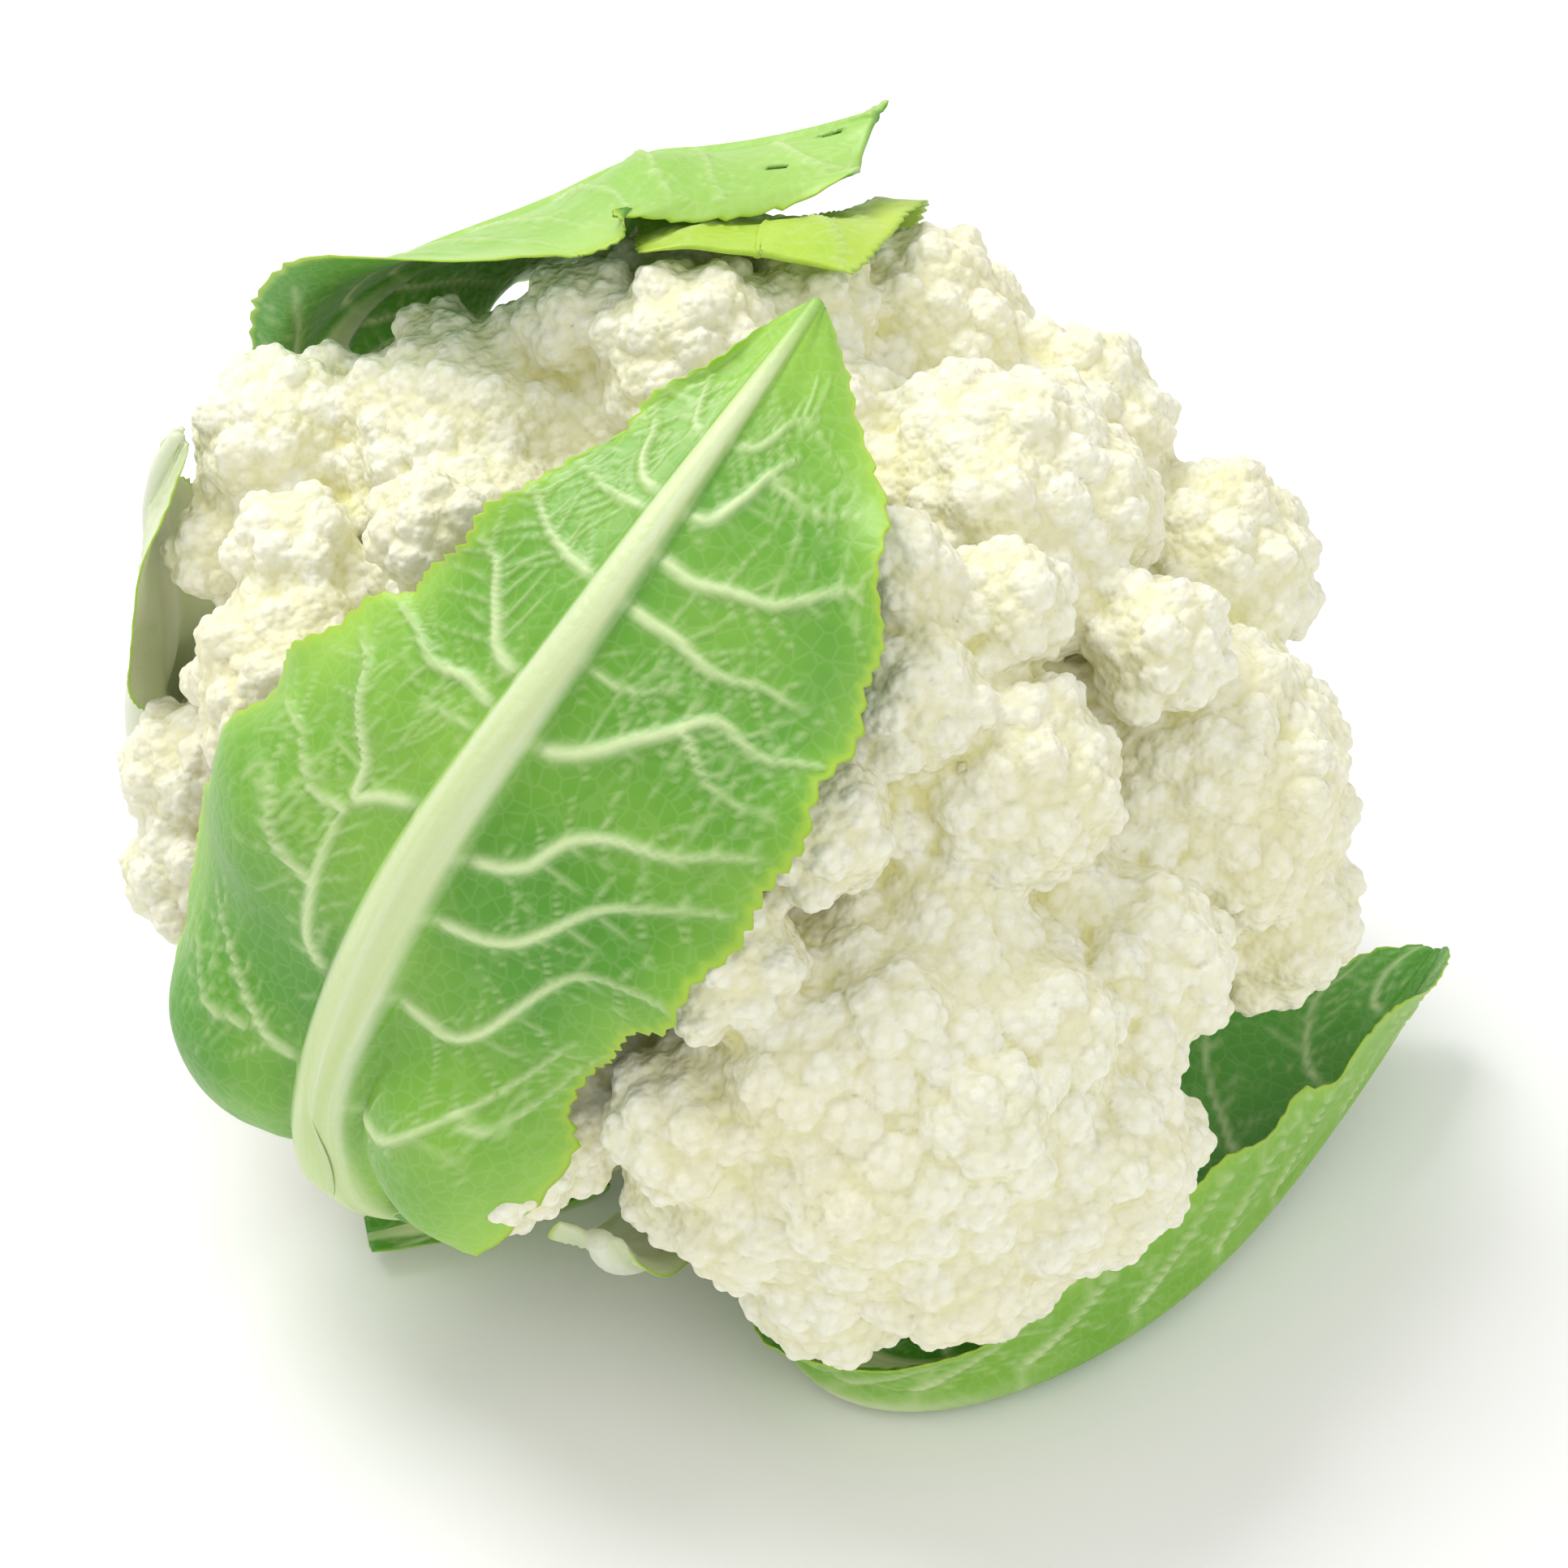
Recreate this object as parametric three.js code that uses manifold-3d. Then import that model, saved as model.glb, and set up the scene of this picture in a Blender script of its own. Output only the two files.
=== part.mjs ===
// A trimmed cauliflower head standing on its cut stump, with the leaves that were left on it.
// Millimetres, +Z up. The origin is the centre of the stump's flat cut.
// -Y is the side with the big front leaf.
import * as THREE from "three";
import { mergeVertices } from "three/addons/utils/BufferGeometryUtils.js";
import Module from "manifold-3d";

const wasm = await Module();
wasm.setup();

// Head: the florets' crowns reach this dome from inside.
const HEAD_CENTRE = [0, 0, 52];
const HEAD_RADIUS = [88, 86];
const HEAD_RISE = 88;
const HEAD_DROP = 34;
const CORE_SHARE = 0.87;
const CORE_DROP = 25;
const CORE_LOBE = 0.2;
const CORE_DETAIL = 6;
const CORE_SEED = 3;

// Stump and the branches that carry the florets.
const STUMP_RADIUS = 18;
const STALK_TOP = 38;
const STALK_SIDES = 15;
const BRANCHES = 9;
const BRANCH_REACH = 52;
const BRANCH_START = { out: 12, z: 21, radius: 8 };
const BRANCH_END = { z: 41, radius: 10 };
const BRANCH_SIDES = 7;
const JOINT_GAP = 0.4;

// Florets and the lobes on them.
const FACET_SHOWN = 7.4;
const FACET_FILL = 9.5;
const EDGE_SHARE = 1.05;
const SWELL = 1.16;
const LOBE_SHARE = 0.36;
const LOBE_LIMITS = [5.5, 10.5];
const LOBE_CROWD = 2.4;
const LOBE_JITTER = 0.9;
const FLORET_FLOOR = 0.82;
const FILL_COUNT = 90;
const FILL_RADIUS = [15, 20];
const FILL_LOWEST = -0.42;
const FILL_LOW_INSET = 16;
const FILL_ROOM = 0.66;
const RIB_ROOM = 7;
const MOST_PULL = 14;

// Leaves.
const BLADE = 1.2;
const CLEAR = 1.6;
const LEAF_ROOM = 4.2;
const ROOM_STEPS = [4, 2];
const STUMP_CLEAR = 34;
const RELAX_ROUNDS = 14;
const SETTLE_ROUNDS = 5;
const RELAX_SHARE = 0.5;
const RIB_OUT = 0.75;
const RIB_IN = 0.35;
const LEAST_WIDTH = 0.4;
const TOOTH_FROM = 3;
const RIPPLE_TURN = 34;
const RIPPLE_FADE = 8;
const WALK_STEPS = 10;

const GOLDEN = Math.PI * (3 - Math.sqrt(5));

// Florets that show on the front side: centre x, y, z and radius, each crown on the dome.
const SHOWN_FLORETS = {
  front: [22, -58, 52, 34.5],
  front_side: [46, -66, 48, 15.5],
  front_left: [-6, -74, 61, 10.5],
  front_upper_left: [-1, -68, 84, 10],
  right_main: [64, -16, 71, 23],
  right_inner: [36, -46, 95, 14],
  right_top: [56, -24, 101, 9.5],
  right_low: [52, -49, 66, 14],
  right_low_edge: [75, -21, 52, 13],
  right_edge_top: [68, 13, 88, 15],
  centre_upper: [36, -4, 108, 21],
  centre_low: [35, -34, 114, 8.5],
  upper_right: [48, 25, 104, 14],
  top: [25, 32, 114, 16.5],
  middle_high: [20, -35, 120, 8.5],
  middle: [22, -46, 108, 10.5],
  middle_low: [11, -60, 99, 9.5],
  left_big: [-37, 15, 107, 20],
  left_lobe: [-40, -22, 117, 8],
  left_mid: [-63, 18, 104, 14.5],
  left_low: [-60, -6, 103, 9],
  left_front: [-60, -18, 90, 14.5],
  left_edge: [-72, 6, 95, 7.5],
  left_edge_low: [-77, -7, 66, 10.5],
  left_low_edge: [-77, -14, 54, 10.5],
  top_left: [-21, 16, 126, 9],
  top_mid: [-6, 8, 126, 13],
  top_right: [10, 20, 126, 10],
};

// A leaf is lofted along its rib. Every list is spread evenly from the root to the tip.
const LEAVES = {
  leaf_base: {
    rib: [[-5.5, -21.5, 11], [-9, -38, 12], [-14, -53, 20], [-18, -64, 32], [-20, -70, 43]],
    facing: null,
    radius: [6, 5.6, 4.6, 3.4, 1.4],
    left: { width: [0, 5, 7, 7, 2], lean: [0, 0], curl: [-10, -16] },
    right: { width: [0, 5, 7, 7, 3], lean: [0, 0], curl: [-10, -20] },
    ripple: 0.4,
    tooth: 0.6,
    rows: 10,
    blade: 3,
  },
  leaf_back_inner: {
    rib: [[5, 21, 11], [6, 44, 14], [8, 68, 26], [9, 84, 48], [9, 84, 76], [8, 72, 102], [7, 54, 121],
      [5, 33, 133], [3, 8, 140]],
    facing: null,
    radius: [7, 7, 6.5, 5.6, 4.6, 3.6, 2.6, 1.8, 0.9],
    left: { width: [0, 4, 10, 15, 18, 20, 19, 17, 9], lean: [0, 0], curl: [-10, -14] },
    right: { width: [0, 4, 10, 14, 14, 13, 11, 12, 9], lean: [0, 0], curl: [-10, -14] },
    ripple: 0.8,
    tooth: 1.2,
    rows: 16,
    blade: 3,
  },
  leaf_left: {
    rib: [[-20.5, 6, 11], [-40, 11, 13], [-60, 18, 20], [-75, 24, 36], [-79, 24, 58], [-82, 19, 79],
      [-81, 11, 97], [-74, 9, 111]],
    facing: null,
    radius: [7.5, 7.5, 7, 6, 4.6, 3.4, 2.2, 1],
    left: { width: [0, 0, 7, 11, 13, 13, 10, 2], lean: [0, 0], curl: [-16, -20, -20] },
    right: { width: [0, 0, 6, 9, 12, 20, 15, 2], lean: [0, 0], curl: [-16, -24, -24] },
    ripple: 0.6,
    tooth: 1,
    rows: 16,
    blade: 3,
  },
  leaf_back: {
    rib: [[-10.5, 18.5, 11], [-26, 38, 13], [-46, 57, 25], [-60, 64, 46], [-67, 60, 70], [-66, 52, 93],
      [-57, 47, 112], [-42, 47, 119], [-25, 51, 121.5], [-8, 53, 125.5], [7, 50, 133], [19, 44, 141]],
    facing: [[-0.23, 0.4, -0.89], [-0.4, 0.6, -0.6], [-0.59, 0.73, -0.35], [-0.68, 0.73, -0.07],
      [-0.73, 0.66, 0.17], [-0.6, 0.78, 0.15], [-0.35, 0.8, 0.48], [-0.1, 0.6, 0.8], [0, 0.5, 0.87],
      [0, 0.5, 0.87], [0, 0.3, 0.95], [0, -0.3, 0.95]],
    radius: [8.5, 8.5, 8, 7, 5.6, 4, 2.8, 2.2, 1.9, 1.7, 1.3, 0.8],
    left: { width: [0, 0, 4, 12, 18, 20, 22, 24, 24, 20, 12, 3], lean: [0, 0],
      curl: [-20, -30, -60, -60, -20] },
    right: { width: [0, 0, 4, 8, 7, 5.5, 8, 20, 32, 44, 33, 4], lean: [0, 0, 0, 0, 5, 7],
      curl: [-20, -20, -20, -22, -30] },
    ripple: 1,
    tooth: 1.3,
    rows: 26,
    blade: 6,
  },
  leaf_front: {
    rib: [[-17, -13, 11], [-30, -23, 11.5], [-44, -35, 15], [-52, -49, 28], [-53, -58, 46], [-48.7, -61, 67],
      [-42.7, -62, 86], [-34.7, -61, 101], [-25, -58, 115], [-16, -51, 126], [-8, -42, 134], [2, -29, 141],
      [10.5, -13, 145]],
    facing: null,
    radius: [7.9, 8.2, 8.2, 7.8, 7, 6, 5.2, 4.5, 3.7, 3, 2.4, 1.7, 0.8],
    left: { width: [0, 0, 0, 12, 30, 41, 38, 34, 27, 21, 17, 9, 1.5], lean: [0, 0],
      curl: [-12, -28, -26, -16] },
    right: { width: [0, 0, 2, 7, 22, 32, 34, 38, 38, 36, 32, 19, 1.5], lean: [0, 0],
      curl: [-50, -50, -30, -18] },
    ripple: 1.6,
    tooth: 1.4,
    rows: 30,
    blade: 4,
  },
  leaf_right: {
    rib: [[12.8, -20.2, 10.5], [9, -41, 9], [10, -60, 6], [22, -68, 4], [44, -61, 3.8], [66, -43, 4],
      [82, -21, 6], [95, -3, 10], [106, 13, 16]],
    facing: [[0.1, -0.2, -1], [0, -0.1, -1], [0, -0.2, -1], [0.2, -0.2, -1], [0.5, -0.3, -1]],
    radius: [7, 6.5, 5.6, 4.4, 4, 3.6, 3, 2.2, 0.9],
    left: { width: [0, 5, 9, 16, 22, 22, 20, 17, 3], lean: [-20, -40, -80, -88, -60, -26],
      curl: [-20, -30, -16, 0] },
    right: { width: [0, 6, 14, 24, 32, 34, 32, 22, 3], lean: [-6, -8, -16, -26, -24],
      curl: [-10, -24, -26, -20] },
    ripple: 1.2,
    tooth: 1.3,
    rows: 26,
    blade: 4,
  },
  leaf_under: {
    rib: [[-21, -22, 3.2], [-30.5, -28, 2.9], [-42, -33, 2.9], [-53.5, -36, 3.4]],
    facing: [[0, 0, -1], [0, 0, -1]],
    radius: [3.2, 2.8, 2.2, 1],
    left: { width: [4, 6, 6, 4], lean: [0, 0], curl: [-6, -16] },
    right: { width: [3.6, 3.2, 3, 3.4], lean: [0, 0], curl: [-6, -16] },
    ripple: 0.3,
    tooth: 0.9,
    rows: 10,
    blade: 2,
  },
};

// Petioles that were cut short when the head was trimmed: turn about the stump and length from it.
const STUBS = [
  { name: "stub_right", turn: -14, length: 25 },
  { name: "stub_back_right", turn: 32, length: 50 },
];
const STUB_RADIUS = 7.5;
const STUB_START = 21;

const COLOURS = {
  curd: "#efe9cf",
  stalk: "#cfdcaa",
  leaf_front: "#7cb83c",
  leaf_back: "#86bd4c",
  leaf_back_inner: "#b4d046",
  leaf_right: "#5c9a2c",
  leaf_left: "#dfe4b8",
  leaf_under: "#6cab30",
  leaf_base: "#cddda6",
  stub: "#d3e0b0",
};

// Seeded draws: a linear congruential generator that gives the same values on every run.
function draws(seed) {
  let state = seed;
  return () => {
    state = (1664525 * state + 1013904223) % 4294967296;
    return state / 4294967296;
  };
}

// A direction on the golden spiral: step i of n from straight up to the given lowest height.
function spiral(i, n, lowest) {
  const z = 1 - ((i + 0.5) / n) * (1 - lowest);
  const r = Math.sqrt(1 - z * z);
  return new THREE.Vector3(r * Math.cos(i * GOLDEN), r * Math.sin(i * GOLDEN), z);
}

// Uniform Catmull-Rom value at u from 0 to 1 through a list of numbers or of points.
function spline(list, u) {
  const last = list.length - 1;
  const x = Math.min(Math.max(u, 0), 1) * last;
  const k = Math.min(Math.floor(x), last - 1);
  const t = x - k;
  const at = (i) => list[Math.min(Math.max(i, 0), last)];
  const mix = (a, b, c, d) => {
    const square = 2 * a - 5 * b + 4 * c - d;
    const cube = 3 * b - a - 3 * c + d;
    return 0.5 * (2 * b + (c - a) * t + square * t * t + cube * t * t * t);
  };
  const four = [at(k - 1), at(k), at(k + 1), at(k + 2)];
  if (typeof list[0] === "number") return mix(...four);
  return list[0].map((_, i) => mix(...four.map((p) => p[i])));
}

// Three.js geometry to solid and back.
function solid(geometry) {
  const bare = geometry.clone();
  for (const name of Object.keys(bare.attributes)) {
    if (name !== "position") bare.deleteAttribute(name);
  }
  const merged = mergeVertices(bare, 1e-5);
  return new wasm.Manifold(new wasm.Mesh({
    numProp: 3,
    vertProperties: new Float32Array(merged.attributes.position.array),
    triVerts: new Uint32Array(merged.index.array),
  }));
}

function geometryOf(body) {
  const { vertProperties, triVerts } = body.getMesh();
  const geometry = new THREE.BufferGeometry();
  geometry.setAttribute("position", new THREE.BufferAttribute(new Float32Array(vertProperties), 3));
  geometry.setIndex(new THREE.BufferAttribute(new Uint32Array(triVerts), 1));
  geometry.computeVertexNormals();
  return geometry;
}

// The dome's three radii less an inset, for a direction above or below the widest ring.
function domeRadii(z, inset) {
  const upright = z >= 0 ? HEAD_RISE : HEAD_DROP;
  return [HEAD_RADIUS[0] - inset, HEAD_RADIUS[1] - inset, upright - inset];
}

const FRONT_RIB = LEAVES.leaf_front.rib.map((point) => new THREE.Vector3(...point));

// The shown florets, then more on the golden spiral wherever the dome is still bare.
function placeFlorets() {
  const head = new THREE.Vector3(...HEAD_CENTRE);
  const florets = Object.values(SHOWN_FLORETS).map(([x, y, z, radius]) => {
    const centre = new THREE.Vector3(x, y, z);
    const inward = head.clone().sub(centre).normalize();
    centre.addScaledVector(inward, (SWELL - 1) * radius);
    return { centre, radius: SWELL * radius, facet: FACET_SHOWN };
  });
  const draw = draws(11);
  for (let i = 0; i < FILL_COUNT; i++) {
    const radius = FILL_RADIUS[0] + (FILL_RADIUS[1] - FILL_RADIUS[0]) * draw();
    const way = spiral(i, FILL_COUNT, FILL_LOWEST);
    const [a, b, c] = domeRadii(way.z, way.z >= 0 ? radius : Math.min(radius, FILL_LOW_INSET));
    const centre = head.clone().add(new THREE.Vector3(way.x * a, way.y * b, way.z * c));
    const bare = florets.every((f) => f.centre.distanceTo(centre) > FILL_ROOM * (f.radius + radius));
    const near = Math.min(...FRONT_RIB.map((point) => point.distanceTo(centre)));
    const pull = THREE.MathUtils.clamp(radius + RIB_ROOM - near, 0, MOST_PULL);
    centre.addScaledVector(head.clone().sub(centre).normalize(), pull);
    if (bare) florets.push({ centre, radius, facet: FACET_FILL });
  }
  return florets;
}

// Lobes of one floret: spheres inside it that all just reach its own radius.
function placeLobes(radius, seed, size) {
  const draw = draws(seed);
  const count = Math.round(LOBE_CROWD * (radius / size) ** 2);
  return Array.from({ length: count }, (_, i) => {
    const lobe = size * (0.8 + 0.4 * draw());
    const way = spiral(i, count, -1);
    const jitter = new THREE.Vector3(draw() - 0.5, draw() - 0.5, draw() - 0.5);
    way.addScaledVector(jitter, (LOBE_JITTER * size) / radius);
    return { way: way.normalize(), reach: radius - lobe * (1 + 0.12 * draw()), radius: lobe };
  });
}

// How far a floret's surface stands from its centre in one direction.
function floretReach(way, radius, lobes) {
  let reach = FLORET_FLOOR * radius;
  for (const lobe of lobes) {
    const along = lobe.reach * way.dot(lobe.way);
    const inside = along * along - lobe.reach ** 2 + lobe.radius ** 2;
    if (inside > 0) reach = Math.max(reach, along + Math.sqrt(inside));
  }
  return reach;
}

function floretSolid({ centre, radius, facet }, seed) {
  const lobes = placeLobes(radius, seed, THREE.MathUtils.clamp(LOBE_SHARE * radius, ...LOBE_LIMITS));
  const detail = Math.max(1, Math.round((EDGE_SHARE * radius) / facet) - 1);
  const geometry = mergeVertices(new THREE.IcosahedronGeometry(1, detail).deleteAttribute("normal")
    .deleteAttribute("uv"), 1e-5);
  const place = geometry.attributes.position;
  const way = new THREE.Vector3();
  for (let i = 0; i < place.count; i++) {
    way.fromBufferAttribute(place, i).normalize();
    const point = way.clone().multiplyScalar(floretReach(way, radius, lobes)).add(centre);
    place.setXYZ(i, point.x, point.y, point.z);
  }
  return solid(geometry);
}

// The smaller core that the florets stand out of, lobed like them where it shows between them.
function coreSolid() {
  const lobes = placeLobes(1, CORE_SEED, CORE_LOBE);
  const geometry = mergeVertices(new THREE.IcosahedronGeometry(1, CORE_DETAIL).deleteAttribute("normal")
    .deleteAttribute("uv"), 1e-5);
  const place = geometry.attributes.position;
  const way = new THREE.Vector3();
  for (let i = 0; i < place.count; i++) {
    way.fromBufferAttribute(place, i).normalize();
    const z = way.z;
    way.multiplyScalar(floretReach(way, 1, lobes));
    place.setXYZ(
      i,
      HEAD_CENTRE[0] + way.x * HEAD_RADIUS[0] * CORE_SHARE,
      HEAD_CENTRE[1] + way.y * HEAD_RADIUS[1] * CORE_SHARE,
      HEAD_CENTRE[2] + way.z * (z >= 0 ? HEAD_RISE * CORE_SHARE : CORE_DROP),
    );
  }
  return solid(geometry);
}

// Trunk and branches, thicker by grow on every side.
function stalkSolid(grow) {
  const outline = [[0, -grow], [STUMP_RADIUS + grow, -grow], [STUMP_RADIUS + 1 + grow, 4], [19 + grow, 14],
    [22 + grow, 24], [27 + grow, STALK_TOP + grow], [0, STALK_TOP + grow]];
  const trunk = new THREE.LatheGeometry(outline.map(([r, z]) => new THREE.Vector2(r, z)), STALK_SIDES);
  trunk.rotateX(Math.PI / 2);
  let body = solid(trunk);
  const draw = draws(5);
  for (let i = 0; i < BRANCHES; i++) {
    const turn = ((i + 0.3 * draw()) / BRANCHES) * 2 * Math.PI;
    const reach = BRANCH_REACH + 5 * draw();
    const station = (out, z) => new THREE.Vector3(Math.cos(turn) * out, Math.sin(turn) * out, z);
    const from = station(BRANCH_START.out, BRANCH_START.z);
    const along = station(reach, BRANCH_END.z).sub(from);
    const length = along.length() + grow;
    const branch = new THREE.CylinderGeometry(
      BRANCH_END.radius + grow, BRANCH_START.radius + grow, length, BRANCH_SIDES,
    );
    branch.translate(0, length / 2, 0);
    branch.applyQuaternion(
      new THREE.Quaternion().setFromUnitVectors(new THREE.Vector3(0, 1, 0), along.normalize()),
    );
    branch.translate(from.x, from.y, from.z);
    body = body.add(solid(branch));
  }
  return body;
}

// The florets and the core as one body; hollows that the joining sealed are filled.
function curdSolid(florets) {
  let body = coreSolid();
  florets.forEach((floret, i) => {
    body = body.add(floretSolid(floret, 100 + i));
  });
  const pieces = body.subtract(stalkSolid(JOINT_GAP)).decompose();
  return pieces.reduce((best, piece) => (piece.volume() > best.volume() ? piece : best));
}

// Signed distances from the rib at which a leaf's cross section has its corners.
function acrossSteps(ribRadius, left, right, blade) {
  const rib = [-1, -0.5, 0, 0.5, 1].map((k) => k * ribRadius);
  const beyond = (width) =>
    Array.from({ length: blade }, (_, k) =>
      ribRadius + ((k + 1) / blade) * Math.max(width - ribRadius, LEAST_WIDTH));
  return [...beyond(left).reverse().map((a) => -a), ...rib, ...beyond(right)];
}

// The leaf's middle surface as rows of points, each with its distance across and the rib's radius.
function leafRows(leaf) {
  const rows = [];
  const draw = draws(leaf.rows * 7 + leaf.blade);
  const phase = draw() * 6;
  for (let i = 0; i <= leaf.rows; i++) {
    const u = i / leaf.rows;
    const place = new THREE.Vector3(...spline(leaf.rib, u));
    const along = new THREE.Vector3(...spline(leaf.rib, u + 0.01))
      .sub(new THREE.Vector3(...spline(leaf.rib, u - 0.01))).normalize();
    const away = leaf.facing
      ? new THREE.Vector3(...spline(leaf.facing, u))
      : place.clone().sub(new THREE.Vector3(...HEAD_CENTRE));
    away.addScaledVector(along, -away.dot(along)).normalize();
    const side = new THREE.Vector3().crossVectors(along, away);
    const ribRadius = spline(leaf.radius, u);
    const notch = (i % 2 ? 1 : -1) * leaf.tooth * 0.5;
    const widths = ["left", "right"].map((name) => {
      const width = spline(leaf[name].width, u);
      return width > ribRadius + TOOTH_FROM ? width + notch : width;
    });
    const steps = acrossSteps(ribRadius, ...widths, leaf.blade);
    rows.push(steps.map((across) => {
      const half = across < 0 ? leaf.left : leaf.right;
      const width = Math.max(across < 0 ? widths[0] : widths[1], ribRadius + LEAST_WIDTH);
      const lean = THREE.MathUtils.degToRad(spline(half.lean, u));
      const curl = THREE.MathUtils.degToRad(spline(half.curl, u));
      const point = place.clone();
      const walk = Math.abs(across) / WALK_STEPS;
      for (let k = 0; k < WALK_STEPS; k++) {
        const beyond = ((k + 0.5) * walk - ribRadius) / (width - ribRadius);
        const tilt = beyond > 0 ? lean + curl * beyond : 0;
        point.addScaledVector(side, Math.sign(across) * Math.cos(tilt) * walk);
        point.addScaledVector(away, Math.sin(tilt) * walk);
      }
      const out = Math.max(0, (Math.abs(across) - ribRadius) / (width - ribRadius));
      const fade = Math.min(1, (width - ribRadius) / RIPPLE_FADE);
      const wave = Math.sin(u * RIPPLE_TURN + phase + Math.sign(across)) * fade;
      point.addScaledVector(away, leaf.ripple * wave * out * out);
      return { point, across, ribRadius };
    }));
  }
  return rows;
}

// Pushes the leaf clear of florets and other leaves and evens it out, so that it drapes over them.
function drape(rows, obstacles) {
  for (let round = 0; round <= RELAX_ROUNDS + SETTLE_ROUNDS; round++) {
    for (const row of rows) {
      for (const spot of row) {
        const clear = CLEAR + BLADE / 2 + RIB_IN * ribBulge(spot);
        for (const { centre, radius } of obstacles) {
          const gap = spot.point.distanceTo(centre) - radius - clear;
          if (gap < 0) {
            spot.point.addScaledVector(spot.point.clone().sub(centre).normalize(), -gap);
          }
        }
      }
    }
    if (round >= RELAX_ROUNDS) continue;
    const old = rows.map((row) => row.map((spot) => spot.point.clone()));
    for (let i = 1; i < rows.length - 1; i++) {
      for (let j = 1; j < rows[i].length - 1; j++) {
        const mean = old[i - 1][j].clone().add(old[i + 1][j]).add(old[i][j - 1]).add(old[i][j + 1]);
        rows[i][j].point.lerp(mean.multiplyScalar(0.25), RELAX_SHARE);
      }
    }
  }
}

// How far the rib's bulge rises, before its share for either face.
function ribBulge({ across, ribRadius }) {
  return Math.sqrt(Math.max(0, 1 - (across / ribRadius) ** 2)) * ribRadius;
}

// Spheres on a leaf's rows and in steps between them, that later leaves keep clear of.
function leafRoom(rows) {
  const room = [];
  const at = (i, j) => rows[Math.min(i, rows.length - 1)][Math.min(j, rows[0].length - 1)];
  rows.forEach((row, i) => row.forEach((spot, j) => {
    for (let k = 0; k < ROOM_STEPS[0] * ROOM_STEPS[1]; k++) {
      const along = Math.floor(k / ROOM_STEPS[1]) / ROOM_STEPS[0];
      const across = (k % ROOM_STEPS[1]) / ROOM_STEPS[1];
      const centre = spot.point.clone().lerp(at(i, j + 1).point, across);
      centre.lerp(at(i + 1, j).point.clone().lerp(at(i + 1, j + 1).point, across), along);
      room.push({ centre, radius: Math.max(LEAF_ROOM, BLADE / 2 + RIB_OUT * ribBulge(spot)) });
    }
  }));
  return room.filter(({ centre }) => Math.hypot(centre.x, centre.y) > STUMP_CLEAR);
}

// Closes the middle surface into a slab with a thick rib, split alike on both faces.
function leafGeometry(leaf, obstacles) {
  const rows = leafRows(leaf);
  drape(rows, obstacles);
  obstacles.push(...leafRoom(rows));
  const wide = rows[0].length;
  const tall = rows.length;
  const at = (i, j) => rows[Math.min(Math.max(i, 0), tall - 1)][Math.min(Math.max(j, 0), wide - 1)].point;
  const positions = [];
  for (const face of [1, -1]) {
    for (let i = 0; i < tall; i++) {
      for (let j = 0; j < wide; j++) {
        const { point } = rows[i][j];
        const along = at(i + 1, j).clone().sub(at(i - 1, j));
        const sideways = at(i, j + 1).clone().sub(at(i, j - 1));
        const normal = new THREE.Vector3().crossVectors(sideways, along).normalize();
        const offset = BLADE / 2 + ribBulge(rows[i][j]) * (face > 0 ? RIB_OUT : RIB_IN);
        const moved = point.clone().addScaledVector(normal, face * offset);
        positions.push(moved.x, moved.y, moved.z);
      }
    }
  }
  const under = tall * wide;
  const faces = [];
  const quad = (a, b, c, d) => faces.push(a, b, c, a, c, d);
  for (let i = 0; i < tall - 1; i++) {
    for (let j = 0; j < wide - 1; j++) {
      const a = i * wide + j;
      const [b, c, d] = [a + 1, a + wide + 1, a + wide];
      faces.push(a, b, c, a, c, d);
      faces.push(under + a, under + c, under + b, under + a, under + d, under + c);
    }
    const l = i * wide;
    const r = l + wide - 1;
    quad(l, l + wide, under + l + wide, under + l);
    quad(r, under + r, under + r + wide, r + wide);
  }
  for (let j = 0; j < wide - 1; j++) {
    const t = (tall - 1) * wide + j;
    quad(j, under + j, under + j + 1, j + 1);
    quad(t, t + 1, under + t + 1, under + t);
  }
  const geometry = new THREE.BufferGeometry();
  geometry.setAttribute("position", new THREE.Float32BufferAttribute(positions, 3));
  geometry.setIndex(faces);
  geometry.computeVertexNormals();
  return geometry;
}

// A petiole cut short: a flattened tube that leaves the stump low down and turns up a little.
function stubGeometry({ turn, length }) {
  const angle = THREE.MathUtils.degToRad(turn);
  const out = new THREE.Vector3(Math.cos(angle), Math.sin(angle), 0);
  const station = (far, z) => out.clone().multiplyScalar(far).setZ(z);
  const path = new THREE.CatmullRomCurve3([
    station(STUB_START, 11),
    station(STUB_START + length * 0.5, 11),
    station(STUB_START + length, 20),
  ]);
  const outline = new THREE.Shape();
  outline.absellipse(0, 0, STUB_RADIUS, STUB_RADIUS * 0.6, 0, 2 * Math.PI, false, Math.PI / 2);
  return new THREE.ExtrudeGeometry(outline, { steps: 7, curveSegments: 5, extrudePath: path });
}

function named(name, geometry, colour, roughness) {
  const material = new THREE.MeshStandardMaterial({ color: colour, roughness, metalness: 0 });
  const mesh = new THREE.Mesh(geometry, material);
  mesh.name = name;
  return mesh;
}

const cauliflower = new THREE.Group();
const florets = placeFlorets();
cauliflower.add(named("curd", geometryOf(curdSolid(florets)), COLOURS.curd, 0.75));
cauliflower.add(named("stalk", geometryOf(stalkSolid(0)), COLOURS.stalk, 0.55));
const obstacles = [...florets];
for (const [name, leaf] of Object.entries(LEAVES)) {
  cauliflower.add(named(name, leafGeometry(leaf, obstacles), COLOURS[name], 0.5));
}
for (const stub of STUBS) {
  cauliflower.add(named(stub.name, stubGeometry(stub), COLOURS.stub, 0.55));
}

export default cauliflower;
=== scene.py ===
"""A trimmed cauliflower head: a beaded curd, veined leaves and a cut stalk on a plain pale floor.

Lengths are millimetres in the head's own frame, +Z up, and become metres where a mesh is filled.
"""

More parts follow.
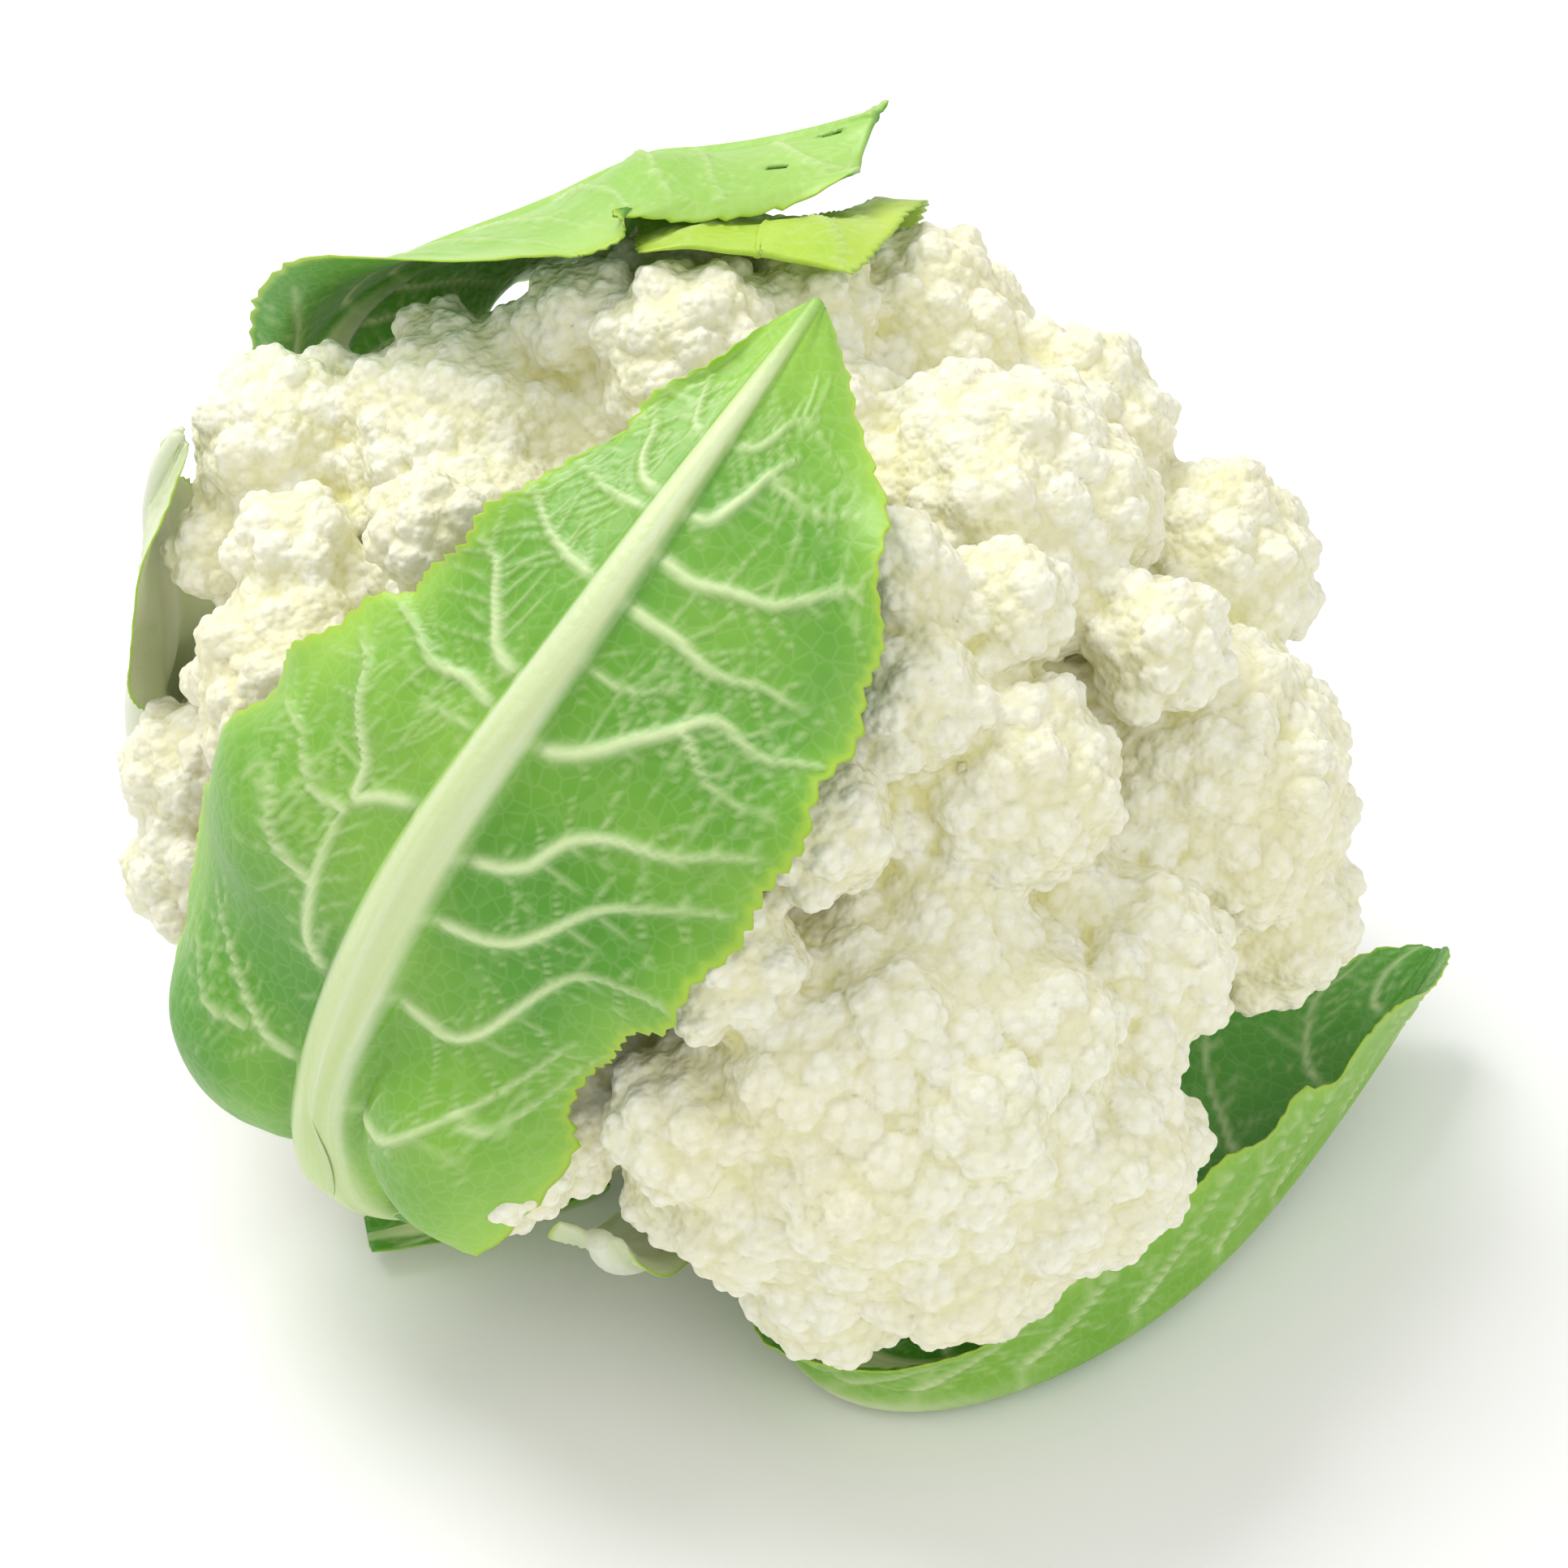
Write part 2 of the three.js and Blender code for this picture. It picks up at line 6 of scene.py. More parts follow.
import logging
import math
from dataclasses import dataclass, field
from enum import Enum
from itertools import product

import bmesh
import bpy
import numpy as np
from mathutils import Matrix, Vector
from mathutils.kdtree import KDTree


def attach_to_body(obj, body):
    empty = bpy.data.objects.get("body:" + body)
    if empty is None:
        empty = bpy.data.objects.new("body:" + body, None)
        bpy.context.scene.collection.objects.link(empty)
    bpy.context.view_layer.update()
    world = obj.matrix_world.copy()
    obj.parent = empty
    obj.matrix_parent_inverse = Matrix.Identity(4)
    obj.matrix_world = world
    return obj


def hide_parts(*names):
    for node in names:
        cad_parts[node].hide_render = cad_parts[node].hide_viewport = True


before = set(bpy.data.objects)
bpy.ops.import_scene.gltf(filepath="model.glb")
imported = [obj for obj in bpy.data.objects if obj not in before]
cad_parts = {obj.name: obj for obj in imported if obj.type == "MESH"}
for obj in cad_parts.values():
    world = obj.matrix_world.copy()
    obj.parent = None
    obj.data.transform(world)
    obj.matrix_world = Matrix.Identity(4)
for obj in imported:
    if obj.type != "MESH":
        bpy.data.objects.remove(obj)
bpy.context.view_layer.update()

LOG = logging.getLogger("cauliflower")
MM = 0.001
BODY = "root"
GOLDEN = math.pi * (3 - math.sqrt(5))
HEAD_CENTRE = np.array([0.0, 0.0, 52.0])

Colour = tuple[float, float, float]
Point = tuple[float, float, float]
Grid = dict[str, np.ndarray]


class Draws:
    """Seeded draws from 0 to 1 that give the same values on every run."""

    def __init__(self, seed: int) -> None:
        """Starts the draws at a seed."""
        self.state = seed

    def __call__(self) -> float:
        """Returns the next draw."""
        self.state = (1664525 * self.state + 1013904223) % 4294967296
        return self.state / 4294967296


def spiral(i: int, n: int, lowest: float) -> np.ndarray:
    """Gives a direction on the golden spiral.

    Args:
        i: the step, from 0.
        n: the number of steps from straight up to the lowest height.
        lowest: the lowest height on the unit ball, from -1 to 1.

    Returns:
        A unit vector.
    """
    z = 1 - ((i + 0.5) / n) * (1 - lowest)
    r = math.sqrt(1 - z * z)
    return np.array([r * math.cos(i * GOLDEN), r * math.sin(i * GOLDEN), z])


def spline(values: object, u: object) -> np.ndarray:
    """Reads an even Catmull-Rom curve.

    Args:
        values: numbers, points or rows of points, spread evenly from u 0 to u 1.
        u: where to read, one value or an array.

    Returns:
        The values at u.
    """
    a = np.asarray(values, float)
    last = len(a) - 1
    x = np.clip(np.asarray(u, float), 0, 1) * last
    k = np.minimum(np.floor(x).astype(int), last - 1)
    t = x - k
    t = t.reshape(t.shape + (1,) * (a.ndim - 1))
    before, start, end, after = (a[np.clip(k + step, 0, last)] for step in (-1, 0, 1, 2))
    square = 2 * before - 5 * start + 4 * end - after
    cube = 3 * start - before - 3 * end + after
    return 0.5 * (2 * start + (end - before) * t + square * t * t + cube * t**3)


def unit(v: np.ndarray) -> np.ndarray:
    """Returns vectors of length 1 along the last axis."""
    return v / np.maximum(np.linalg.norm(v, axis=-1, keepdims=True), 1e-9)


def smooth_step(low: float, high: float, x: np.ndarray) -> np.ndarray:
    """Rises smoothly from 0 at low to 1 at high."""
    t = np.clip((x - low) / (high - low), 0, 1)
    return t * t * (3 - 2 * t)


def coordinates(mesh: bpy.types.Mesh) -> np.ndarray:
    """Returns a mesh's vertices in millimetres."""
    co = np.empty(len(mesh.vertices) * 3, np.float32)
    mesh.vertices.foreach_get("co", co)
    return co.reshape(-1, 3).astype(float) / MM


def place_vertices(mesh: bpy.types.Mesh, points: np.ndarray) -> None:
    """Moves a mesh's vertices to points in millimetres."""
    mesh.vertices.foreach_set("co", (points * MM).astype(np.float32).ravel())
    mesh.update()


def vertex_normals(mesh: bpy.types.Mesh) -> np.ndarray:
    """Returns a mesh's vertex normals."""
    normals = np.empty(len(mesh.vertices) * 3, np.float32)
    mesh.vertices.foreach_get("normal", normals)
    return normals.reshape(-1, 3).astype(float)


def evened(points: np.ndarray, edges: np.ndarray, rounds: int) -> np.ndarray:
    """Evens points out over a mesh's edges.

    Args:
        points: one row for each vertex.
        edges: pairs of vertex numbers.
        rounds: how many times each point goes to the mean of itself and its neighbours.

    Returns:
        The evened points.
    """
    count = len(points)
    ends = np.concatenate([edges[:, 0], edges[:, 1]])
    others = np.concatenate([edges[:, 1], edges[:, 0]])
    share = (1 + np.bincount(ends, minlength=count))[:, None]
    out = points.copy()
    for _ in range(rounds):
        sums = [np.bincount(ends, weights=out[others, k], minlength=count) for k in range(out.shape[1])]
        out = (out + np.stack(sums, 1)) / share
    return out


def mesh_edges(mesh: bpy.types.Mesh) -> np.ndarray:
    """Returns a mesh's edges as pairs of vertex numbers."""
    edges = np.empty(len(mesh.edges) * 2, np.int32)
    mesh.edges.foreach_get("vertices", edges)
    return edges.reshape(-1, 2)


def store(mesh: bpy.types.Mesh, name: str, values: np.ndarray) -> None:
    """Keeps one number for each vertex under a name that materials read."""
    attribute = mesh.attributes.new(name, "FLOAT", "POINT")
    attribute.data.foreach_set("value", values.astype(np.float32))


def new_object(name: str, bm: bmesh.types.BMesh) -> bpy.types.Object:
    """Turns a bmesh into an object of the scene and frees it."""
    mesh = bpy.data.meshes.new(name)
    bm.to_mesh(mesh)
    bm.free()
    made = bpy.data.objects.new(name, mesh)
    bpy.context.scene.collection.objects.link(made)
    return made


def fused(name: str, bm: bmesh.types.BMesh, voxel: float) -> bpy.types.Mesh:
    """Fuses overlapping closed forms into one closed skin.

    Args:
        name: the new mesh's name.
        bm: the forms, which are freed.
        voxel: the size of the skin's faces in millimetres.

    Returns:
        The skin as a mesh with no object.
    """
    rough = new_object(name + "_forms", bm)
    fuse = rough.modifiers.new("fuse", "REMESH")
    fuse.mode = "VOXEL"
    fuse.voxel_size = voxel * MM
    evaluated = rough.evaluated_get(bpy.context.evaluated_depsgraph_get())
    skin = bpy.data.meshes.new_from_object(evaluated)
    skin.name = name
    forms = rough.data
    bpy.data.objects.remove(rough)
    bpy.data.meshes.remove(forms)
    return skin


def spread(points: np.ndarray, gap: float, share: float, seed: int) -> list[list[float]]:
    """Picks points that all lie a gap apart.

    Args:
        points: the places to pick from, in millimetres.
        gap: the least distance between two picked points.
        share: the share of the places that is tried.
        seed: the seed of the order in which places are tried.

    Returns:
        The picked points.
    """
    order = np.random.default_rng(seed).permutation(len(points))[:int(share * len(points))]
    cells = np.floor(points[order] / gap).astype(int).tolist()
    steps = list(product((-1, 0, 1), repeat=3))
    taken: dict[tuple[int, ...], list[list[float]]] = {}
    picked = []
    for (i, j, k), spot in zip(cells, points[order].tolist()):
        near = (taken.get((i + a, j + b, k + c), ()) for a, b, c in steps)
        if all(math.dist(spot, other) >= gap for group in near for other in group):
            taken.setdefault((i, j, k), []).append(spot)
            picked.append(spot)
    return picked


@dataclass(frozen=True)
class Bumps:
    """Small round swellings that cover the curd's skin."""

    gap: float
    radius: float
    tried: float
    radii: tuple[float, float] = (0.93, 1.07)
    level: float = 0.44
    floor: float = 1.35
    nearest: int = 3

    def heights(self, points: np.ndarray) -> np.ndarray:
        """Measures how high the balls stand over each point.

        Args:
            points: places on the skin that the balls sit on.

        Returns:
            The height of the highest ball over each point, no lower than a little under the skin.
        """
        centres = spread(points, self.gap, self.tried, 7)
        reach = self.level * self.gap
        radii = self.radius * np.random.default_rng(8).uniform(*self.radii, len(centres))
        squares = (radii**2).tolist()
        tree = KDTree(len(centres))
        for i, centre in enumerate(centres):
            tree.insert(centre, i)
        tree.balance()
        near = (tree.find_n(spot, self.nearest) for spot in points.tolist())
        best = [max(squares[i] - far * far for _, i, far in found) for found in near]
        lowest = self.radius**2 - (self.floor * reach) ** 2
        return np.sqrt(np.maximum(best, lowest)) - math.sqrt(self.radius**2 - reach**2)


class Shader:
    """Builds one material's nodes round a Principled shader."""

    def __init__(self, name: str) -> None:
        """Starts a material with its shader."""
        self.material = bpy.data.materials.new(name)
        self.material.use_nodes = True
        self.tree = self.material.node_tree
        self.surface = self.tree.nodes["Principled BSDF"]

    def node(self, kind: str, **settings: object) -> bpy.types.Node:
        """Adds a node.

        Args:
            kind: the node's type.
            settings: its properties, and its inputs where a name has a trailing underscore.

        Returns:
            The node.
        """
        made = self.tree.nodes.new(kind)
        for name, value in settings.items():
            if name.endswith("_"):
                made.inputs[name[:-1].replace("_", " ")].default_value = value
            else:
                setattr(made, name, value)
        return made

    def link(self, source: object, target: object) -> None:
        """Joins an output to an input."""
        self.tree.links.new(source, target)

    def attribute(self, name: str) -> object:
        """Reads a number that a mesh keeps for each vertex."""
        return self.node("ShaderNodeAttribute", attribute_name=name).outputs["Fac"]

    def place(self, scale: Point) -> object:
        """Reads object coordinates, stretched by a scale."""
        spot = self.node("ShaderNodeTexCoord")
        mapping = self.node("ShaderNodeMapping", Scale_=scale)
        self.link(spot.outputs["Object"], mapping.inputs["Vector"])
        return mapping.outputs["Vector"]

    def noise(self, scale: float, detail: float = 3.0) -> object:
        """Gives a noise pattern in object coordinates, with scale in grains a metre."""
        made = self.node("ShaderNodeTexNoise", Scale_=scale, Detail_=detail)
        self.link(self.place((1, 1, 1)), made.inputs["Vector"])
        return made.outputs["Fac"]

    def ranged(self, value: object, low: float, high: float) -> object:
        """Stretches the span from low to high to 0 to 1, smoothly."""
        made = self.node("ShaderNodeMapRange", interpolation_type="SMOOTHSTEP")
        made.inputs["From Min"].default_value = low
        made.inputs["From Max"].default_value = high
        self.link(value, made.inputs["Value"])
        return made.outputs["Result"]

    def mix(self, share: object, low: object, high: object) -> object:
        """Mixes two colours, each a tuple or an output, by a share."""
        made = self.node("ShaderNodeMix", data_type="RGBA")
        self.link(share, made.inputs["Factor"])
        for socket, colour in ((made.inputs[6], low), (made.inputs[7], high)):
            if isinstance(colour, tuple):
                socket.default_value = (*colour, 1)
            else:
                self.link(colour, socket)
        return made.outputs[2]

    def times(self, value: object, factor: float) -> object:
        """Multiplies an output by a number."""
        made = self.node("ShaderNodeMath", operation="MULTIPLY")
        self.link(value, made.inputs[0])
        made.inputs[1].default_value = factor
        return made.outputs[0]

    def bump(self, height: object, depth: float, onto: object = None) -> object:
        """Adds relief of a depth in metres, on top of earlier relief where given."""
        made = self.node("ShaderNodeBump", Strength_=1.0, Distance_=depth)
        self.link(height, made.inputs["Height"])
        if onto is not None:
            self.link(onto, made.inputs["Normal"])
        return made.outputs["Normal"]

    def skin(self, roughness: float, glow: float, radius: Colour) -> None:
        """Sets gloss and how far light goes under the skin, in metres for each colour."""
        self.surface.inputs["Roughness"].default_value = roughness
        self.surface.inputs["Subsurface Weight"].default_value = glow
        self.surface.inputs["Subsurface Radius"].default_value = radius
        self.surface.inputs["Subsurface Scale"].default_value = 1.0

    def finished(self, colour: object, normal: object = None) -> bpy.types.Material:
        """Joins the colour and the relief to the shader and returns the material."""
        self.link(colour, self.surface.inputs["Base Color"])
        if normal is not None:
            self.link(normal, self.surface.inputs["Normal"])
        return self.material


@dataclass(frozen=True)
class CurdFinish:
    """Matt cream beads, yellower in the creases, with painted shade darkening the creases and the deep pits
    between florets.
    """

    crown: Colour = (0.89, 0.88, 0.73)
    warm: Colour = (0.87, 0.84, 0.63)
    # crease colour: the creases' yellower tint with painted shade, darker where beads, nodules and lobes meet
    crease: Colour = (0.72, 0.69, 0.33)
    # pit colour: painted shade for the deep gaps between florets
    pit: Colour = (0.42, 0.36, 0.11)

    def material(self) -> bpy.types.Material:
        """Returns the curd's material."""
        shader = Shader("curd_beads")
        patches = shader.ranged(shader.noise(24), 0.45, 0.72)
        crown = shader.mix(patches, self.crown, self.warm)
        # painted shade: the creases take a yellower, darker colour
        creased = shader.mix(shader.attribute("crease"), crown, self.crease)
        # painted shade: the deep pits between florets take a dark colour
        colour = shader.mix(shader.attribute("pit"), creased, self.pit)
        shader.skin(0.6, 0.22, (0.0011, 0.0010, 0.0006))
        grain = shader.node("ShaderNodeTexVoronoi", feature="SMOOTH_F1", Scale_=820, Smoothness_=0.4)
        shader.link(shader.place((1, 1, 1)), grain.inputs["Vector"])
        return shader.finished(colour, shader.bump(shader.times(grain.outputs["Distance"], -1.0), 0.0004))


@dataclass(frozen=True)
class LeafFinish:
    """A waxy blade with pale ribs and veins."""

    name: str
    light: Colour
    dark: Colour
    inner: Colour
    rib: Colour = (0.60, 0.71, 0.34)
    petiole: Colour = (0.47, 0.64, 0.20)
    vein: Colour = (0.64, 0.77, 0.40)
    edge: Colour = (0.38, 0.58, 0.05)
    gloss: float = 0.42

    def material(self) -> bpy.types.Material:
        """Returns the leaf's material."""
        shader = Shader(self.name)
        tone = shader.node("ShaderNodeMath", operation="ADD", use_clamp=True)
        shader.link(shader.attribute("tone"), tone.inputs[0])
        shader.link(shader.times(shader.ranged(shader.noise(34, 5), 0.3, 0.75), 0.4), tone.inputs[1])
        outer = shader.mix(tone.outputs[0], self.dark, self.light)
        blade = shader.mix(shader.attribute("inside"), outer, self.inner)
        net = shader.node("ShaderNodeTexVoronoi", feature="DISTANCE_TO_EDGE", Scale_=420)
        shader.link(shader.place((1, 1, 1)), net.inputs["Vector"])
        mesh = shader.ranged(net.outputs["Distance"], 0.12, 0.0)
        netted = shader.mix(shader.times(mesh, 0.08), blade, self.vein)
        edged = shader.mix(shader.attribute("margin"), netted, self.edge)
        veined = shader.mix(shader.attribute("vein"), edged, self.vein)
        streak = shader.node("ShaderNodeTexNoise", Scale_=1.0, Detail_=3.0)
        spot = shader.node("ShaderNodeUVMap", uv_map="leaf")
        stretch = shader.node("ShaderNodeMapping", Scale_=(48, 1.6, 1))
        shader.link(spot.outputs["UV"], stretch.inputs["Vector"])
        shader.link(stretch.outputs["Vector"], streak.inputs["Vector"])
        pale = tuple(0.3 + 0.7 * c for c in self.rib)
        flesh = shader.mix(shader.attribute("root"), self.rib, self.petiole)
        rib = shader.mix(shader.ranged(streak.outputs["Fac"], 0.3, 0.8), flesh, pale)
        colour = shader.mix(shader.attribute("rib"), veined, rib)
        shader.skin(self.gloss, 0.10, (0.0008, 0.0011, 0.0003))
        relief = shader.bump(net.outputs["Distance"], 0.00016)
        fibres = shader.bump(streak.outputs["Fac"], 0.00010, relief)
        return shader.finished(colour, fibres)


@dataclass(frozen=True)
class StalkFinish:
    """Smooth pale green flesh with faint fibres."""

    skin: Colour = (0.62, 0.71, 0.42)
    flesh: Colour = (0.80, 0.83, 0.62)

    def material(self) -> bpy.types.Material:
        """Returns the stalk's material."""
        shader = Shader("stalk_flesh")
        patches = shader.ranged(shader.noise(60), 0.35, 0.7)
        colour = shader.mix(patches, self.skin, self.flesh)
        shader.skin(0.45, 0.25, (0.0016, 0.0018, 0.0008))
        return shader.finished(colour, shader.bump(shader.noise(700, 3), 0.0002))


@dataclass
class Ball:
    """A floret's ball: its middle and its reach."""

    centre: np.ndarray
    radius: float


@dataclass
class Lobes:
    """Smaller balls inside a ball, which all just reach its surface."""

    ways: np.ndarray
    reaches: np.ndarray
    radii: np.ndarray

    def surface(self, ways: np.ndarray, floor: np.ndarray) -> np.ndarray:
        """Measures the surface from the ball's middle.

        Args:
            ways: unit directions.
            floor: the least distance in each direction.

        Returns:
            The distance in each direction.
        """
        out = floor.copy()
        for way, reach, radius in zip(self.ways, self.reaches, self.radii):
            along = reach * (ways @ way)
            inside = along**2 - reach**2 + radius**2
            hit = inside > 0
            out[hit] = np.maximum(out[hit], along[hit] + np.sqrt(inside[hit]))
        return out


class Side(Enum):
    """The curd's pieces, each with the direction that its florets face."""

    FRONT = (0.15, -1.0, -0.1)
    RIGHT = (1.0, -0.1, 0.0)
    BACK = (0.1, 1.0, 0.0)
    LEFT = (-1.0, 0.1, 0.1)
    TOP = (0.0, 0.0, 1.15)


@dataclass
class Curd:
    """The dense head of florets: balls of lobes, nodules and beads, grown as one."""

    finish: CurdFinish
    dome: tuple[float, float] = (88.0, 86.0)
    rise: float = 88.0
    drop: float = 34.0
    core_share: float = 0.87
    core_drop: float = 25.0
    core_lobe: float = 0.2
    core_seed: int = 3
    swell: float = 1.16
    lobe_share: float = 0.36
    lobe_limits: tuple[float, float] = (5.5, 10.5)
    lobe_crowd: float = 2.4
    lobe_jitter: float = 0.9
    floor_share: float = 0.82
    floret_floor: float = 0.87
    fill_count: int = 90
    fill_radius: tuple[float, float] = (15.0, 20.0)
    fill_lowest: float = -0.42
    fill_low_inset: float = 16.0
    fill_room: float = 0.66
    rib_room: float = 7.0
    most_pull: float = 14.0
    nodules: Bumps = Bumps(gap=6.0, radius=5.4, tried=0.08)
    beads: Bumps = Bumps(gap=2.2, radius=1.95, tried=0.4)
    fused_rounds: int = 4
    normal_rounds: int = 3
    broad_rounds: int = 45
    voxel: float = 0.66
    wall_bend: float = 2.5
    large_ball: float = 21.0
    shown: dict[str, tuple[float, float, float, float]] = field(default_factory=lambda: {
        "front": (22, -58, 52, 34.5),
        "front_side": (46, -66, 48, 15.5),
        "front_left": (-6, -74, 61, 10.5),
        "front_upper_left": (-1, -68, 84, 10),
        "right_main": (64, -16, 71, 23),
        "right_inner": (36, -46, 95, 14),
        "right_top": (56, -24, 101, 9.5),
        "right_low": (52, -49, 66, 14),
        "right_low_edge": (75, -21, 52, 13),
        "right_edge_top": (68, 13, 88, 15),
        "centre_upper": (36, -4, 108, 21),
        "centre_low": (35, -34, 114, 8.5),
        "upper_right": (48, 25, 104, 14),
        "top": (25, 32, 114, 16.5),
        "middle_high": (20, -35, 120, 8.5),
        "middle": (22, -46, 108, 10.5),
        "middle_low": (11, -60, 99, 9.5),
        "left_big": (-37, 15, 107, 20),
        "left_lobe": (-40, -22, 117, 8),
        "left_mid": (-63, 18, 104, 14.5),
        "left_low": (-60, -6, 103, 9),
        "left_front": (-60, -18, 90, 14.5),
        "left_edge": (-72, 6, 95, 7.5),
        "left_edge_low": (-77, -7, 66, 10.5),
        "left_low_edge": (-77, -14, 54, 10.5),
        "top_left": (-21, 16, 126, 9),
        "top_mid": (-6, 8, 126, 13),
        "top_right": (10, 20, 126, 10),
    })

    def florets(self, front_rib: np.ndarray) -> list[Ball]:
        """Places the florets that show, then more wherever the dome is bare.

        Args:
            front_rib: points on the front leaf's rib, which florets keep clear of.

        Returns:
            The florets' balls.
        """
        balls = []
        for *centre, radius in self.shown.values():
            inward = unit(HEAD_CENTRE - centre)
            balls.append(Ball(centre + inward * (self.swell - 1) * radius, self.swell * radius))
        draw = Draws(11)
        for i in range(self.fill_count):
            radius = self.fill_radius[0] + (self.fill_radius[1] - self.fill_radius[0]) * draw()
            way = spiral(i, self.fill_count, self.fill_lowest)
            inset = radius if way[2] >= 0 else min(radius, self.fill_low_inset)
            upright = self.rise if way[2] >= 0 else self.drop
            centre = HEAD_CENTRE + way * (np.array([*self.dome, upright]) - inset)
            bare = all(
                np.linalg.norm(b.centre - centre) > self.fill_room * (b.radius + radius) for b in balls
            )
            near = np.linalg.norm(front_rib - centre, axis=1).min()
            pull = float(np.clip(radius + self.rib_room - near, 0, self.most_pull))
            if bare:
                balls.append(Ball(centre + unit(HEAD_CENTRE - centre) * pull, radius))
        return balls

    def lobes(self, radius: float, seed: int, size: float) -> Lobes:
        """Spreads lobes inside a ball.

        Args:
            radius: the ball's radius.
            seed: where the draws start.
            size: the lobes' usual radius.

        Returns:
            The lobes.
        """
        draw = Draws(seed)
        count = math.floor(self.lobe_crowd * (radius / size) ** 2 + 0.5)
        ways, reaches, radii = [], [], []
        for i in range(count):
            lobe = size * (0.8 + 0.4 * draw())
            jitter = np.array([draw() - 0.5, draw() - 0.5, draw() - 0.5])
            ways.append(unit(spiral(i, count, -1) + jitter * self.lobe_jitter * size / radius))
            reaches.append(radius - lobe * (1 + 0.12 * draw()))
            radii.append(lobe)
        return Lobes(np.array(ways), np.array(reaches), np.array(radii))

    def add_ball(self, bm: bmesh.types.BMesh, ball: Ball, seed: int) -> None:
        """Adds one floret's lobed ball to the forms."""
        size = float(np.clip(self.lobe_share * ball.radius, *self.lobe_limits))
        detail = 6 if ball.radius > self.large_ball else 5
        made = bmesh.ops.create_icosphere(bm, subdivisions=detail, radius=1.0)["verts"]
        ways = unit(np.array([v.co for v in made], float))
        lobes = self.lobes(ball.radius, seed, size)
        reach = lobes.surface(ways, np.full(len(ways), self.floret_floor * ball.radius))
        for vert, point in zip(made, (ball.centre + ways * reach[:, None]) * MM):
            vert.co = point

    def add_core(self, bm: bmesh.types.BMesh) -> None:
        """Adds the smaller core that the florets stand out of."""
        made = bmesh.ops.create_icosphere(bm, subdivisions=6, radius=1.0)["verts"]
        ways = unit(np.array([v.co for v in made], float))
        lobes = self.lobes(1.0, self.core_seed, self.core_lobe)
        reach = lobes.surface(ways, np.full(len(ways), self.floor_share))[:, None]
        upright = np.where(ways[:, 2] >= 0, self.rise * self.core_share, self.core_drop)
        flat = np.broadcast_to(np.array(self.dome) * self.core_share, (len(ways), 2))
        radii = np.column_stack([flat, upright])
        for vert, point in zip(made, (HEAD_CENTRE + ways * reach * radii) * MM):
            vert.co = point

    def bead_skin(self, skin: bpy.types.Mesh, balls: list[Ball]) -> np.ndarray:
        """Raises nodules and beads on the fused skin and keeps how deep each spot lies, which the material
        turns into painted shade in the creases and pits.

        Args:
            skin: the fused mesh.
            balls: the florets.

        Returns:
            The number of the floret that each face belongs to.
        """
        edges = mesh_edges(skin)
        points = evened(coordinates(skin), edges, self.fused_rounds)
        heights = []
        for bumps in (self.nodules, self.beads):
            place_vertices(skin, points)
            normals = unit(evened(vertex_normals(skin), edges, self.normal_rounds))
            height = bumps.heights(points)
            points = points + normals * height[:, None]
            heights.append(height / bumps.gap)
        place_vertices(skin, points)
        broad = evened(points, edges, self.broad_rounds)
        lobed = ((points - broad) * unit(evened(normals, edges, self.normal_rounds))).sum(1)
        nodule, bead = heights
        # painted shade with a yellower tint, strongest in the valleys between nodules, beads and lobes
        crease = 0.45 * smooth_step(-0.04, -0.15, nodule) + 0.25 * smooth_step(-0.03, -0.13, bead)
        store(skin, "crease", np.clip(crease + 0.6 * smooth_step(-0.5, -1.7, lobed), 0, 1))
        # painted shade, darkest where the skin lies deep inside its floret's ball
        store(skin, "pit", 0.8 * smooth_step(-2.2, -7.0, self.owners(points, balls)[1]))
        centres = np.empty(len(skin.polygons) * 3, np.float32)
        skin.polygons.foreach_get("center", centres)
        return self.owners(centres.reshape(-1, 3) / MM, balls)[0]

    def owners(self, points: np.ndarray, balls: list[Ball]) -> tuple[np.ndarray, np.ndarray]:
        """Finds the floret that each point belongs to.

        Args:
            points: places in millimetres.
            balls: the florets.

        Returns:
            The floret's number, and how far the point stands out of its ball's lobed ground.
        """
        owner = np.empty(len(points), int)
        depth = np.empty(len(points))
        centres = np.array([b.centre for b in balls])
        radii = np.array([b.radius for b in balls])
        for start in range(0, len(points), 20000):
            part = points[start:start + 20000]
            far = np.linalg.norm(part[:, None, :] - centres[None], axis=2)
            best = (far**2 - radii**2).argmin(1)
            owner[start:start + 20000] = best
            rows = np.arange(len(part))
            depth[start:start + 20000] = far[rows, best] - 0.9 * radii[best]
        return owner, depth

    def build(self, balls: list[Ball]) -> list[bpy.types.Object]:
        """Builds the curd's pieces.

        Args:
            balls: the florets.

        Returns:
            One object for each side of the head.
        """
        bm = bmesh.new()
        self.add_core(bm)
        for i, ball in enumerate(balls):
            self.add_ball(bm, ball, 100 + i)
        skin = fused("curd_skin", bm, self.voxel)
        owner = self.bead_skin(skin, balls)
        facing = unit(np.array([b.centre for b in balls]) - HEAD_CENTRE)
        sides = list(Side)
        pull = np.array([side.value for side in sides])
        side_of = (facing @ pull.T).argmax(1)[owner]
        material = self.finish.material()
        made = []
        for number, side in enumerate(sides):
            piece = self.cut_side(skin, side_of == number, "curd_" + side.name.lower())
            piece.data.materials.append(material)
            made.append(piece)
        bpy.data.meshes.remove(skin)
        return made

